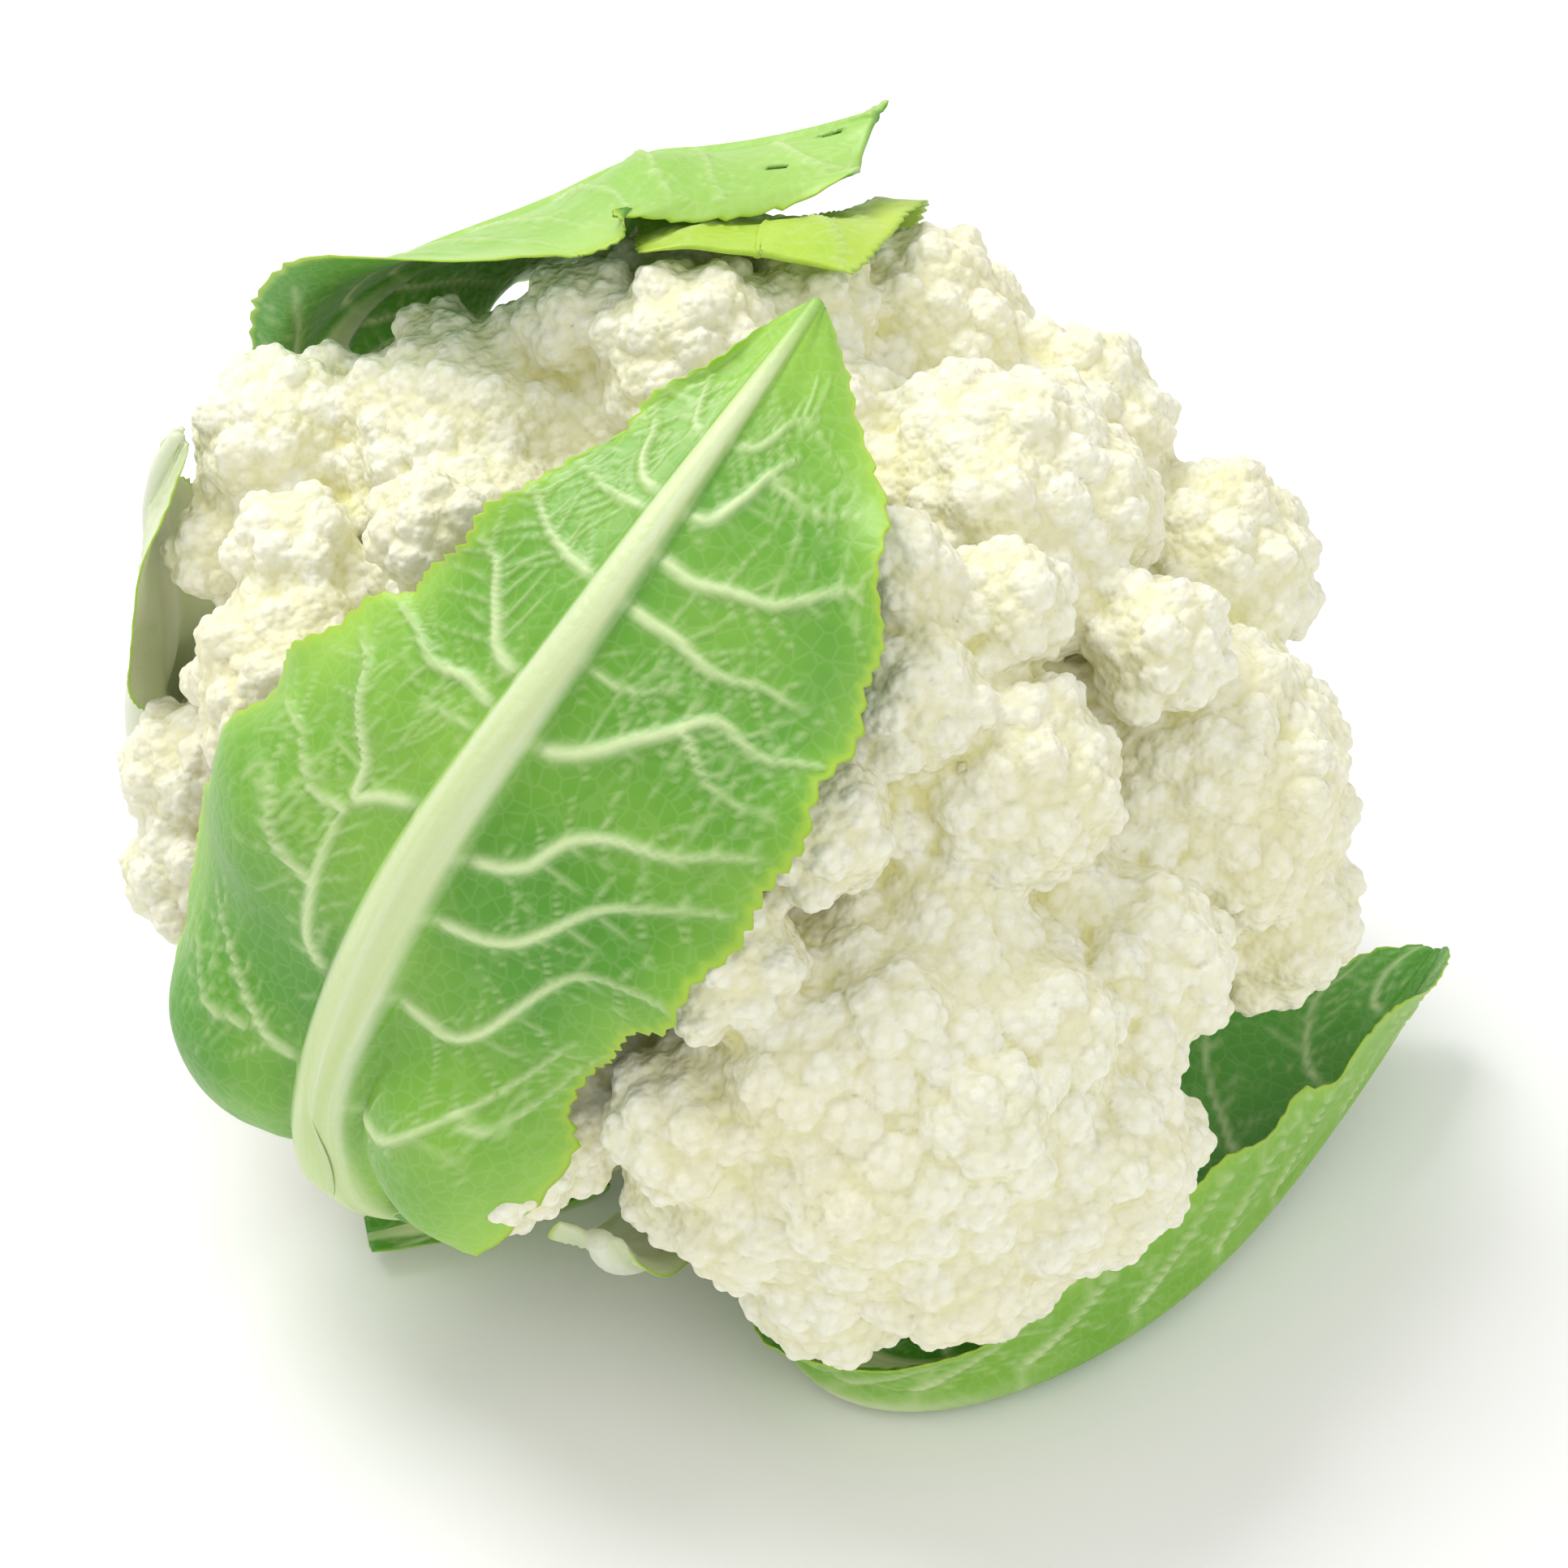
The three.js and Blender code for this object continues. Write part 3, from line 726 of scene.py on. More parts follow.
    def cut_side(self, skin: bpy.types.Mesh, kept: np.ndarray, name: str) -> bpy.types.Object:
        """Cuts one side out of the skin and closes it to the head's middle.

        Args:
            skin: the whole skin.
            kept: whether each face stays.
            name: the piece's name.

        Returns:
            The closed piece.
        """
        bm = bmesh.new()
        bm.from_mesh(skin)
        bm.faces.ensure_lookup_table()
        gone = [bm.faces[i] for i in np.flatnonzero(~kept)]
        outward = {tuple(vert.co): vert.normal.copy() for face in gone for vert in face.verts}
        bmesh.ops.delete(bm, geom=gone, context="FACES")
        for face in bm.faces:
            face.smooth = True
        rim = [edge for edge in bm.edges if edge.is_boundary]
        for edge in rim:
            edge.smooth = False
        walls = bmesh.ops.extrude_edge_only(bm, edges=rim)["geom"]
        bent = {part for part in walls if isinstance(part, bmesh.types.BMVert)}
        for vert in bent:
            vert.co -= outward[tuple(vert.co)] * self.wall_bend * MM
        rim = [part for part in walls if isinstance(part, bmesh.types.BMEdge)]
        rim = [edge for edge in rim if bent.issuperset(edge.verts)]
        walls = bmesh.ops.extrude_edge_only(bm, edges=rim)["geom"]
        inner = [part for part in walls if isinstance(part, bmesh.types.BMVert)]
        for vert in inner:
            vert.co = Vector(HEAD_CENTRE * MM)
        bmesh.ops.remove_doubles(bm, verts=inner, dist=1e-6)
        bmesh.ops.recalc_face_normals(bm, faces=bm.faces)
        return new_object(name, bm)


@dataclass(frozen=True)
class Half:
    """One side of a blade. Each list is spread evenly from the root to the tip."""

    width: tuple[float, ...]
    lean: tuple[float, ...] = (0.0, 0.0)
    curl: tuple[float, ...] = (0.0, 0.0)
    tone: tuple[float, ...] = (0.0, 0.0)


@dataclass
class Obstacles:
    """Balls that a leaf is draped over."""

    centres: np.ndarray
    radii: np.ndarray

    def add(self, centres: np.ndarray, radii: np.ndarray) -> None:
        """Adds balls."""
        self.centres = np.concatenate([self.centres, centres])
        self.radii = np.concatenate([self.radii, radii])


@dataclass(frozen=True)
class Vein:
    """A vein's route over a blade: how far along the leaf and out from the rib, and its width."""

    side: int
    route: tuple[tuple[float, float], ...]
    width: float = 1.5


FRONT_VEINS = (
    Vein(1, ((0.375, 0), (0.39, 0.4), (0.42, 0.6), (0.47, 0.75), (0.5, 0.8)), 1.3),
    Vein(1, ((0.42, 0.58), (0.418, 0.75), (0.46, 0.9), (0.5, 0.97)), 1.0),
    Vein(1, ((0.462, 0), (0.457, 0.25), (0.475, 0.42), (0.53, 0.55), (0.56, 0.68), (0.58, 0.97)), 1.7),
    Vein(1, ((0.52, 0), (0.54, 0.25), (0.56, 0.37), (0.595, 0.5), (0.625, 0.7), (0.645, 0.92)), 1.7),
    Vein(1, ((0.56, 0), (0.595, 0.13), (0.625, 0.25), (0.645, 0.5), (0.66, 0.7), (0.68, 0.9)), 1.8),
    Vein(1, ((0.65, 0), (0.68, 0.13), (0.71, 0.33), (0.73, 0.48), (0.73, 0.7), (0.74, 0.94)), 1.9),
    Vein(1, ((0.715, 0.4), (0.7, 0.58), (0.7, 0.9)), 1.1),
    Vein(1, ((0.715, 0), (0.72, 0.13), (0.74, 0.3)), 0.9),
    Vein(1, ((0.762, 0), (0.757, 0.25), (0.76, 0.5), (0.77, 0.77)), 1.5),
    Vein(1, ((0.797, 0), (0.802, 0.25), (0.815, 0.5), (0.845, 0.78), (0.85, 0.9)), 1.6),
    Vein(1, ((0.82, 0), (0.855, 0.08), (0.88, 0.2), (0.9, 0.38)), 1.5),
    Vein(1, ((0.88, 0.2), (0.875, 0.5), (0.89, 0.85)), 1.0),
    Vein(1, ((0.88, 0), (0.915, 0.2), (0.93, 0.5)), 1.0),
    Vein(-1, ((0.375, 0), (0.37, 0.12), (0.385, 0.3), (0.4, 0.5), (0.42, 0.68)), 1.5),
    Vein(-1, ((0.37, 0.3), (0.365, 0.5), (0.38, 0.7), (0.385, 0.9)), 1.0),
    Vein(-1, ((0.43, 0), (0.45, 0.08), (0.5, 0.13), (0.535, 0.18)), 2.1),
    Vein(-1, ((0.487, 0.12), (0.5, 0.38), (0.515, 0.5), (0.52, 0.7)), 1.3),
    Vein(-1, ((0.535, 0.18), (0.533, 0.35), (0.545, 0.6), (0.55, 0.8)), 1.2),
    Vein(-1, ((0.585, 0), (0.546, 0.15), (0.57, 0.25), (0.595, 0.5), (0.61, 0.64), (0.62, 0.85)), 1.7),
    Vein(-1, ((0.64, 0), (0.632, 0.1), (0.62, 0.2)), 0.9),
    Vein(-1, ((0.658, 0), (0.655, 0.15), (0.65, 0.4), (0.655, 0.75), (0.655, 0.92)), 1.4),
    Vein(-1, ((0.68, 0), (0.69, 0.13), (0.71, 0.38), (0.735, 0.62), (0.745, 0.88)), 1.8),
    Vein(-1, ((0.765, 0), (0.765, 0.13), (0.775, 0.42), (0.79, 0.75), (0.8, 0.9)), 1.5),
    Vein(-1, ((0.82, 0), (0.822, 0.25), (0.825, 0.62), (0.835, 0.88)), 1.1),
    Vein(-1, ((0.835, 0), (0.85, 0.3), (0.87, 0.5), (0.885, 0.83)), 1.3),
    Vein(-1, ((0.88, 0), (0.9, 0.3), (0.92, 0.6)), 1.0),
)


@dataclass
class Leaf:
    """A leaf lofted along its rib and draped over the head, with ribs, veins and a toothed margin."""

    name: str
    slot: str
    finish: LeafFinish
    rib: tuple[Point, ...]
    radius: tuple[float, ...]
    left: Half
    right: Half
    rows: int
    blade: int
    ripple: float
    tooth: float
    facing: tuple[Point, ...] = ()
    veins: tuple[Vein, ...] = ()
    vein_gap: float = 13.0
    tone: float = 0.25
    rib_fade: float = 2.0
    holes: tuple[tuple[float, float, float, float], ...] = ()
    step: float = 1.2
    clear: float = 1.6
    solid_blade: float = 1.2
    leaf_room: float = 4.2
    room_steps: tuple[int, int] = (4, 2)
    stump_clear: float = 34.0
    relax_rounds: int = 14
    settle_rounds: int = 5
    rib_out: float = 0.75
    rib_in: float = 0.35
    least_width: float = 0.4
    tooth_from: float = 3.0
    vein_start: float = 0.125
    vein_points: int = 26
    thick: float = 0.9
    thinner: float = 0.45
    pucker: float = 0.5
    rib_round: float = 0.7
    edge_pale: float = 0.4
    ripple_turn: float = 34.0
    ripple_fade: float = 8.0
    walk_steps: int = 10

    def coarse(self) -> tuple[np.ndarray, np.ndarray, np.ndarray]:
        """Lofts the middle surface as in the solid model.

        Returns:
            The points in rows, each point's distance across, and each row's rib radius.
        """
        draw = Draws(self.rows * 7 + self.blade)
        phase = draw() * 6
        points, acrosses, ribs = [], [], []
        for i in range(self.rows + 1):
            u = i / self.rows
            place = spline(self.rib, u)
            along = unit(spline(self.rib, u + 0.01) - spline(self.rib, u - 0.01))
            away = spline(self.facing, u) if self.facing else place - HEAD_CENTRE
            away = unit(away - along * (away @ along))
            side = np.cross(along, away)
            rib = float(spline(self.radius, u))
            notch = (1 if i % 2 else -1) * self.tooth * 0.5
            widths = []
            for half in (self.left, self.right):
                width = float(spline(half.width, u))
                widths.append(width + notch if width > rib + self.tooth_from else width)
            across = self.across_steps(rib, widths)
            width = np.where(across < 0, widths[0], widths[1])
            width = np.maximum(width, rib + self.least_width)
            lean = np.where(across < 0, spline(self.left.lean, u), spline(self.right.lean, u))
            curl = np.where(across < 0, spline(self.left.curl, u), spline(self.right.curl, u))
            walk = np.abs(across) / self.walk_steps
            row = np.repeat(place[None], len(across), 0)
            for k in range(self.walk_steps):
                beyond = ((k + 0.5) * walk - rib) / (width - rib)
                tilt = np.radians(np.where(beyond > 0, lean + curl * beyond, 0))
                row = row + side * (np.sign(across) * np.cos(tilt) * walk)[:, None]
                row = row + away * (np.sin(tilt) * walk)[:, None]
            out = np.maximum(0, (np.abs(across) - rib) / (width - rib))
            wave = np.sin(u * self.ripple_turn + phase + np.sign(across))
            wave = wave * np.minimum(1, (width - rib) / self.ripple_fade)
            row = row + away * (self.ripple * wave * out**2)[:, None]
            points.append(row)
            acrosses.append(across)
            ribs.append(rib)
        return np.array(points), np.array(acrosses), np.array(ribs)

    def across_steps(self, rib: float, widths: list[float]) -> np.ndarray:
        """Gives the signed distances from the rib at which a row has its points."""
        beyond = []
        for width in widths:
            span = max(width - rib, self.least_width)
            beyond.append([rib + (k + 1) / self.blade * span for k in range(self.blade)])
        left = [-a for a in reversed(beyond[0])]
        return np.array([*left, *(k * rib for k in (-1, -0.5, 0, 0.5, 1)), *beyond[1]])

    def drape(self, points: np.ndarray, bulge: np.ndarray, over: Obstacles) -> None:
        """Pushes the surface clear of the obstacles and evens it out, in place."""
        clear = self.clear + self.solid_blade / 2 + self.rib_in * bulge
        for turn in range(self.relax_rounds + self.settle_rounds + 1):
            flat = points.reshape(-1, 3)
            room = clear.reshape(-1)
            for i, spot in enumerate(flat):
                gaps = np.linalg.norm(over.centres - spot, axis=1) - over.radii - room[i]
                for k in np.flatnonzero(gaps < 0):
                    away = flat[i] - over.centres[k]
                    far = float(np.linalg.norm(away))
                    if far < over.radii[k] + room[i]:
                        flat[i] = over.centres[k] + away / far * (over.radii[k] + room[i])
            if turn < self.relax_rounds:
                mean = (points[:-2, 1:-1] + points[2:, 1:-1] + points[1:-1, :-2] + points[1:-1, 2:]) / 4
                points[1:-1, 1:-1] += (mean - points[1:-1, 1:-1]) * 0.5

    def keep_room(self, points: np.ndarray, bulge: np.ndarray, over: Obstacles) -> None:
        """Makes later leaves keep clear of this one."""
        later_row = np.minimum(np.arange(len(points)) + 1, len(points) - 1)
        later_column = np.minimum(np.arange(points.shape[1]) + 1, points.shape[1] - 1)
        spots = []
        for along, across in product(*(np.arange(count) / count for count in self.room_steps)):
            mixed = points + (points[:, later_column] - points) * across
            spots.append(mixed + (mixed[later_row] - mixed) * along)
        centres = np.stack(spots, 2).reshape(-1, 3)
        radii = np.maximum(self.leaf_room, self.solid_blade / 2 + self.rib_out * bulge)
        radii = np.repeat(radii.reshape(-1), len(spots))
        outside = np.hypot(centres[:, 0], centres[:, 1]) > self.stump_clear
        over.add(centres[outside], radii[outside])

    def fine_grid(self, points: np.ndarray, across: np.ndarray, ribs: np.ndarray) -> Grid:
        """Refines the draped surface.

        Args:
            points: the draped points in rows.
            across: their distances across.
            ribs: the rows' rib radii.

        Returns:
            Arrays over the fine grid: place, across, rib radius, widths, u and length along the rib.
        """
        step = self.step * 1.0
        middle = int(np.abs(across).sum(0).argmin())
        length = np.linalg.norm(np.diff(points[:, middle], axis=0), axis=1).sum()
        u = np.linspace(0, 1, int(length / step) + 1)
        spans = np.abs(np.diff(across, axis=1)).max(0)
        stops = [0.0]
        for k, span in enumerate(spans):
            parts = max(2, round(float(span) / step))
            stops += [k + (n + 1) / parts for n in range(parts)]
        x = np.array(stops) / (points.shape[1] - 1)
        place = spline(np.swapaxes(spline(points, u), 0, 1), x).swapaxes(0, 1)
        far = spline(spline(across, u).T, x).T
        centre = int(np.abs(far).sum(0).argmin())
        along = np.concatenate([[0], np.cumsum(np.linalg.norm(np.diff(place[:, centre], axis=0), axis=1))])
        walked = np.cumsum(np.linalg.norm(np.diff(place, axis=1), axis=2), axis=1)
        walked = np.concatenate([np.zeros((len(u), 1)), walked], 1)
        real = walked - walked[:, centre:centre + 1]
        rib = np.repeat(spline(ribs, u)[:, None], len(x), 1)
        width = np.where(real < 0, -real[:, :1], real[:, -1:])
        span = np.maximum(width - rib, self.least_width)
        return {
            "place": place, "lofted": far, "across": real, "rib": rib, "width": width,
            "share": np.clip((np.abs(real) - rib) / span, 0, 1),
            "u": np.repeat(u[:, None], len(x), 1),
            "along": np.repeat(along[:, None], len(x), 1),
        }

    def vein_routes(self, grid: Grid) -> list[tuple[np.ndarray, float]]:
        """Lays out every vein.

        Args:
            grid: the fine grid's arrays.

        Returns:
            Routes in millimetres along and across the leaf, each with its width at the root.
        """
        u, along = grid["u"][:, 0], grid["along"][:, 0]
        rib, lofted = grid["rib"][:, 0], grid["lofted"]
        routes = []

        def laid(side: int, route: np.ndarray) -> np.ndarray:
            """Turns a route in shares into millimetres."""
            at = np.interp(route[:, 0], u, along)
            root = np.interp(route[:, 0], u, rib)
            edge = np.interp(route[:, 0], u, np.abs(lofted[:, -1 if side > 0 else 0]))
            span = np.maximum(edge - root, self.least_width)
            flat = side * (root * np.minimum(1, route[:, 1] / self.vein_start) + route[:, 1] * span)
            near = np.searchsorted(u, np.clip(route[:, 0], 0, 1))
            real = [np.interp(x, lofted[k], grid["across"][k]) for x, k in zip(flat, near)]
            return np.column_stack([at, real])

        draw = Draws(len(self.name) * 13 + self.rows)
        veins = self.veins or self.even_veins(along[-1], draw)
        for vein in veins:
            spots = np.linspace(0, 1, self.vein_points)
            route = laid(vein.side, spline(vein.route, spots))
            route[:, 0] += 0.35 * np.sin(route[:, 1] * 0.55 + 9 * draw())
            routes.append((route, vein.width))
            for k in range(3, self.vein_points - 2, 3):
                start = route[k]
                way = route[k + 1] - route[k - 1]
                way = way / max(np.linalg.norm(way), 1e-6)
                for turn in (-1, 1):
                    angle = turn * (0.8 + 0.5 * draw())
                    reach = 3.5 + 6.5 * draw()
                    bend = turn * (0.25 - 0.7 * draw())
                    spread = np.linspace(0, 1, 7)
                    heading = angle + bend * spread
                    cos, sin = np.cos(heading), np.sin(heading)
                    steps = np.column_stack([way[0] * cos - way[1] * sin, way[0] * sin + way[1] * cos])
                    twig = start + np.cumsum(steps * reach / 6, axis=0) - steps[0] * reach / 6
                    routes.append((twig, 0.16 * vein.width + 0.16))
        return routes

    def even_veins(self, length: float, draw: Draws) -> list[Vein]:
        """Spreads veins evenly on a leaf whose own can't be read from the photograph."""
        veins = []
        count = max(2, int(0.72 * length / self.vein_gap))
        for side in (-1, 1):
            for i in range(count):
                root = 0.2 + 0.74 * (i + 0.3 * draw() + (0.3 if side > 0 else 0)) / count
                rise = 0.05 + 0.03 * draw()
                route = ((root, 0.0), (root + 0.4 * rise, 0.3), (root + rise, 0.62), (root + 1.7 * rise, 0.9))
                veins.append(Vein(side, route, 1.5 - 0.6 * i / count))
        return veins

    def vein_relief(self, grid: Grid) -> tuple[np.ndarray, np.ndarray]:
        """Measures how high and how pale the veins make each spot.

        Args:
            grid: the fine grid's arrays.

        Returns:
            The ridges' height in millimetres, and the veins' paleness from 0 to 1.
        """
        height = np.zeros_like(grid["along"])
        glow = np.zeros_like(height)
        along = grid["along"][:, 0]
        for route, width in self.vein_routes(grid):
            count = len(route) - 1
            for k in range(count):
                start, end = route[k], route[k + 1]
                thick = width * (1 - 0.68 * k / count)
                reach = 2.4 * thick + 1.2
                first, last = sorted((start[0], end[0]))
                low, high = np.searchsorted(along, [first - reach, last + reach])
                if low >= high:
                    continue
                part = slice(low, high)
                span = end - start
                dx = grid["along"][part] - start[0]
                dy = grid["across"][part] - start[1]
                t = np.clip((dx * span[0] + dy * span[1]) / max(float(span @ span), 1e-9), 0, 1)
                far = np.hypot(dx - t * span[0], dy - t * span[1])
                ridge = 0.34 * thick * np.exp(-((far / (0.55 * thick)) ** 2))
                pale = np.exp(-((far / (0.46 * thick + 0.10)) ** 2)) + 0.10 * np.exp(-far / (0.9 * thick))
                strength = min(1.0, 0.12 + 0.72 * thick)
                height[part] = np.maximum(height[part], ridge)
                glow[part] = np.maximum(glow[part], np.minimum(1, pale) * strength)
        inside = smooth_step(0.0, 0.05, grid["share"])
        fade = 1 - smooth_step(0.93, 1.0, grid["share"])
        return height * inside * fade, glow * (0.35 + 0.65 * inside) * fade

    def toothed(self, grid: Grid, normals: np.ndarray) -> np.ndarray:
        """Cuts teeth and small waves into the margin.

        Args:
            grid: the fine grid's arrays.
            normals: the surface's normals.

        Returns:
            The moved points.
        """
        place = grid["place"].copy()
        draw = Draws(self.rows + 77)
        shifts = [draw() * 6 for _ in range(5)]
        blade = smooth_step(2.0, 7.0, grid["width"] - grid["rib"])
        for edge, inner, turn in ((0, 1, 0.0), (-1, -2, 1.7)):
            outward = unit(place[:, edge] - place[:, inner])
            s = grid["along"][:, 0]
            saw = np.abs(((s / 2.7 + 0.35 * np.sin(s / 5.3 + shifts[0] + turn)) % 1) - 0.35)
            lobe = 0.9 * np.sin(s / 6.1 + shifts[1] + turn) + 0.6 * np.sin(s / 3.3 + shifts[2])
            reach = (-1.3 * saw + 0.35 * lobe) * self.tooth
            half = grid["across"] < 0 if edge == 0 else grid["across"] > 0
            near = smooth_step(0.80, 1.0, grid["share"]) * blade * half
            place += outward[:, None, :] * (reach[:, None] * near)[..., None]
        s = grid["along"]
        wave = np.sin(s / 4.6 + shifts[3] + np.sign(grid["across"])) + 0.6 * np.sin(s / 2.4 + shifts[4])
        lift = 0.45 * self.ripple * np.maximum(wave, -0.6) * smooth_step(0.72, 1.0, grid["share"]) * blade
        return place + normals * lift[..., None]

    def build(self, over: Obstacles) -> bpy.types.Object:
        """Builds the leaf over the florets and the leaves before it.

        Args:
            over: what the leaf is draped over, to which it is added.

        Returns:
            The leaf.
        """
        points, across, ribs = self.coarse()
        bulge = ribs[:, None] * np.sqrt(np.maximum(0, 1 - (across / ribs[:, None]) ** 2))
        self.drape(points, bulge, over)
        self.keep_room(points, bulge, over)
        grid = self.fine_grid(points, across, ribs)
        normals = unit(np.cross(np.gradient(grid["place"], axis=1), np.gradient(grid["place"], axis=0)))
        height, glow = self.vein_relief(grid)
        place = self.toothed(grid, normals)
        x = np.abs(grid["across"]) / grid["rib"]
        bulge = np.maximum(0, 1 - x**2) ** self.rib_round * grid["rib"]
        thin = self.thick - self.thinner * smooth_step(0.55, 1.0, grid["share"])
        pucker = self.pucker * (1 - np.clip(glow * 1.4, 0, 1)) * smooth_step(0.05, 0.3, grid["share"])
        outer = thin / 2 + bulge * self.rib_out + height - pucker
        inner = thin / 2 + bulge * self.rib_in + pucker * 0.6 - 0.25 * height
        rim = smooth_step(0.0, 0.02, grid["u"]) * smooth_step(1.0, 0.985, grid["u"])
        left_tone, right_tone = (spline(half.tone, grid["u"]) for half in (self.left, self.right))
        tone = self.tone + np.where(grid["across"] < 0, left_tone, right_tone)
        tone = tone + self.edge_pale * smooth_step(0.6, 1.0, grid["share"])
        faded = 1 - smooth_step(self.rib_fade - 0.1, self.rib_fade + 0.1, grid["u"])
        layers = {
            "vein": np.clip(glow, 0, 1),
            "rib": smooth_step(0.98, 0.62, x) * smooth_step(0.15, 0.6, grid["rib"] / 3) * faded,
            "root": smooth_step(0.5, 0.2, grid["u"]),
            "margin": smooth_step(0.93, 1.0, grid["share"]) * smooth_step(2, 7, grid["width"]) * rim,
            "tone": np.clip(tone, 0, 1),
        }
        outside = place + normals * outer[..., None]
        inside = place - normals * inner[..., None]
        return self.closed(grid, outside, inside, layers)

    def closed(
        self, grid: Grid, outside: np.ndarray, inside: np.ndarray, layers: Grid
    ) -> bpy.types.Object:
        """Closes the two faces of a leaf into one slab.

        Args:
            grid: the fine grid's arrays.
            outside: points of the face away from the head.
            inside: points of the face towards the head.
            layers: numbers that the material reads, over the grid.

        Returns:
            The leaf as an object.
        """
        tall, wide = outside.shape[:2]
        bm = bmesh.new()
        bmesh.ops.create_grid(bm, x_segments=wide - 1, y_segments=tall - 1, size=1.0)
        row = bm.verts.layers.int.new("row")
        column = bm.verts.layers.int.new("column")
        inner = bm.verts.layers.float.new("inside")
        for vert in bm.verts:
            vert[column] = round((vert.co.x + 1) / 2 * (wide - 1))
            vert[row] = round((vert.co.y + 1) / 2 * (tall - 1))
        if self.holes:
            self.cut_holes(bm, grid, row, column)
        made = bmesh.ops.extrude_face_region(bm, geom=bm.faces[:])["geom"]
        top = {part for part in made if isinstance(part, bmesh.types.BMVert)}
        outside, inside = outside * MM, inside * MM
        for vert in bm.verts:
            spots = outside if vert in top else inside
            vert.co = spots[vert[row], vert[column]]
            vert[inner] = 0.0 if vert in top else 1.0
        for name, values in layers.items():
            layer = bm.verts.layers.float.new(name)
            for vert in bm.verts:
                vert[layer] = values[vert[row], vert[column]]
        chart = bm.loops.layers.uv.new("leaf")
        for face in bm.faces:
            face.smooth = True
            for loop in face.loops:
                i, j = loop.vert[row], loop.vert[column]
                loop[chart].uv = (grid["across"][i, j] / 100, grid["along"][i, j] / 100)
        bmesh.ops.recalc_face_normals(bm, faces=bm.faces)
        bm.verts.layers.int.remove(bm.verts.layers.int["row"])
        bm.verts.layers.int.remove(bm.verts.layers.int["column"])
        leaf = new_object(self.name, bm)
        leaf.data.materials.append(self.finish.material())
        return leaf

    def cut_holes(self, bm: bmesh.types.BMesh, grid: Grid, row: object, column: object) -> None:
        """Takes out the faces inside each hole.

        Args:
            bm: the flat grid of faces.
            grid: the fine grid's arrays.
            row: the layer that holds each vertex's row.
            column: the layer that holds each vertex's column.
        """
        gone = []
        for face in bm.faces:
            spots = [(vert[row], vert[column]) for vert in face.verts]
            u = np.mean([grid["u"][s] for s in spots])
            along = np.mean([grid["along"][s] for s in spots])
            across = np.mean([grid["across"][s] for s in spots])
            width = np.mean([grid["across"][s[0], -1] for s in spots])
            for hole_u, share, long, wide in self.holes:
                middle = np.interp(hole_u, grid["u"][:, 0], grid["along"][:, 0])
                far = ((along - middle) / long) ** 2 + ((across - share * width) / wide) ** 2
                if far < 1 and abs(u - hole_u) < 0.2:
                    gone.append(face)
                    break
        bmesh.ops.delete(bm, geom=gone, context="FACES")


@dataclass
class Stalk:
    """The cut stump and the branches that carry the florets."""

    finish: StalkFinish
    stump: float = 18.0
    top: float = 38.0
    branches: int = 9
    branch_reach: float = 52.0
    branch_radii: tuple[float, float] = (8.0, 10.0)
    branch_heights: tuple[float, float] = (21.0, 41.0)
    branch_root: float = 12.0
    face_height: float = 1.5
    voxel: float = 1.6

    def build(self) -> bpy.types.Object:
        """Builds trunk and branches as one skin."""
        bm = bmesh.new()
        profile = ((self.stump, 0), (self.stump + 1, 4), (19, 14), (22, 24), (27, self.top))
        ring = bmesh.ops.create_circle(bm, cap_ends=True, segments=64, radius=profile[0][0] * MM)["verts"]
        face = next(iter(bm.faces))
        for radius, z in profile[1:]:
            now = math.hypot(ring[0].co.x, ring[0].co.y)
            extruded = bmesh.ops.extrude_face_region(bm, geom=[face])["geom"]
            face = next(part for part in extruded if isinstance(part, bmesh.types.BMFace))
            ring = list(face.verts)
            for vert in ring:
                vert.co = Vector((vert.co.x * radius * MM / now, vert.co.y * radius * MM / now, z * MM))
        draw = Draws(5)
        for i in range(self.branches):
            turn = ((i + 0.3 * draw()) / self.branches) * 2 * math.pi
            reach = self.branch_reach + 5 * draw()
            start, end = (
                Vector((math.cos(turn) * far, math.sin(turn) * far, high)) * MM
                for far, high in zip((self.branch_root, reach), self.branch_heights)
            )
            way = end - start
            stand = way.to_track_quat("Z", "Y").to_matrix().to_4x4()
            place = Matrix.Translation((start + end) / 2) @ stand
            root, tip = (radius * MM for radius in self.branch_radii)
            bmesh.ops.create_cone(
                bm, cap_ends=True, segments=24, radius1=root, radius2=tip, depth=way.length, matrix=place
            )
        bmesh.ops.recalc_face_normals(bm, faces=bm.faces)
        skin = fused("stalk_skin", bm, self.voxel)
        self.grow(skin)
        made = bpy.data.objects.new("stalk_body", skin)
        bpy.context.scene.collection.objects.link(made)
        skin.materials.append(self.finish.material())
        return made

    def grow(self, skin: bpy.types.Mesh) -> None:
        """Softens the joints and raises fibres, and keeps the cut face flat."""
        points = coordinates(skin)
        low = points[:, 2] < self.face_height
        soft = evened(points, mesh_edges(skin), 6)
        soft[low] = points[low]
        turn = np.arctan2(soft[:, 1], soft[:, 0])
        fibre = np.sin(turn * 37 + soft[:, 2] * 0.1) + 0.6 * np.sin(turn * 61 + 2)
        lift = 0.14 * fibre * smooth_step(self.face_height, 5, soft[:, 2])
        place_vertices(skin, soft + vertex_normals(skin) * lift[:, None])
        skin.polygons.foreach_set("use_smooth", np.ones(len(skin.polygons), bool))


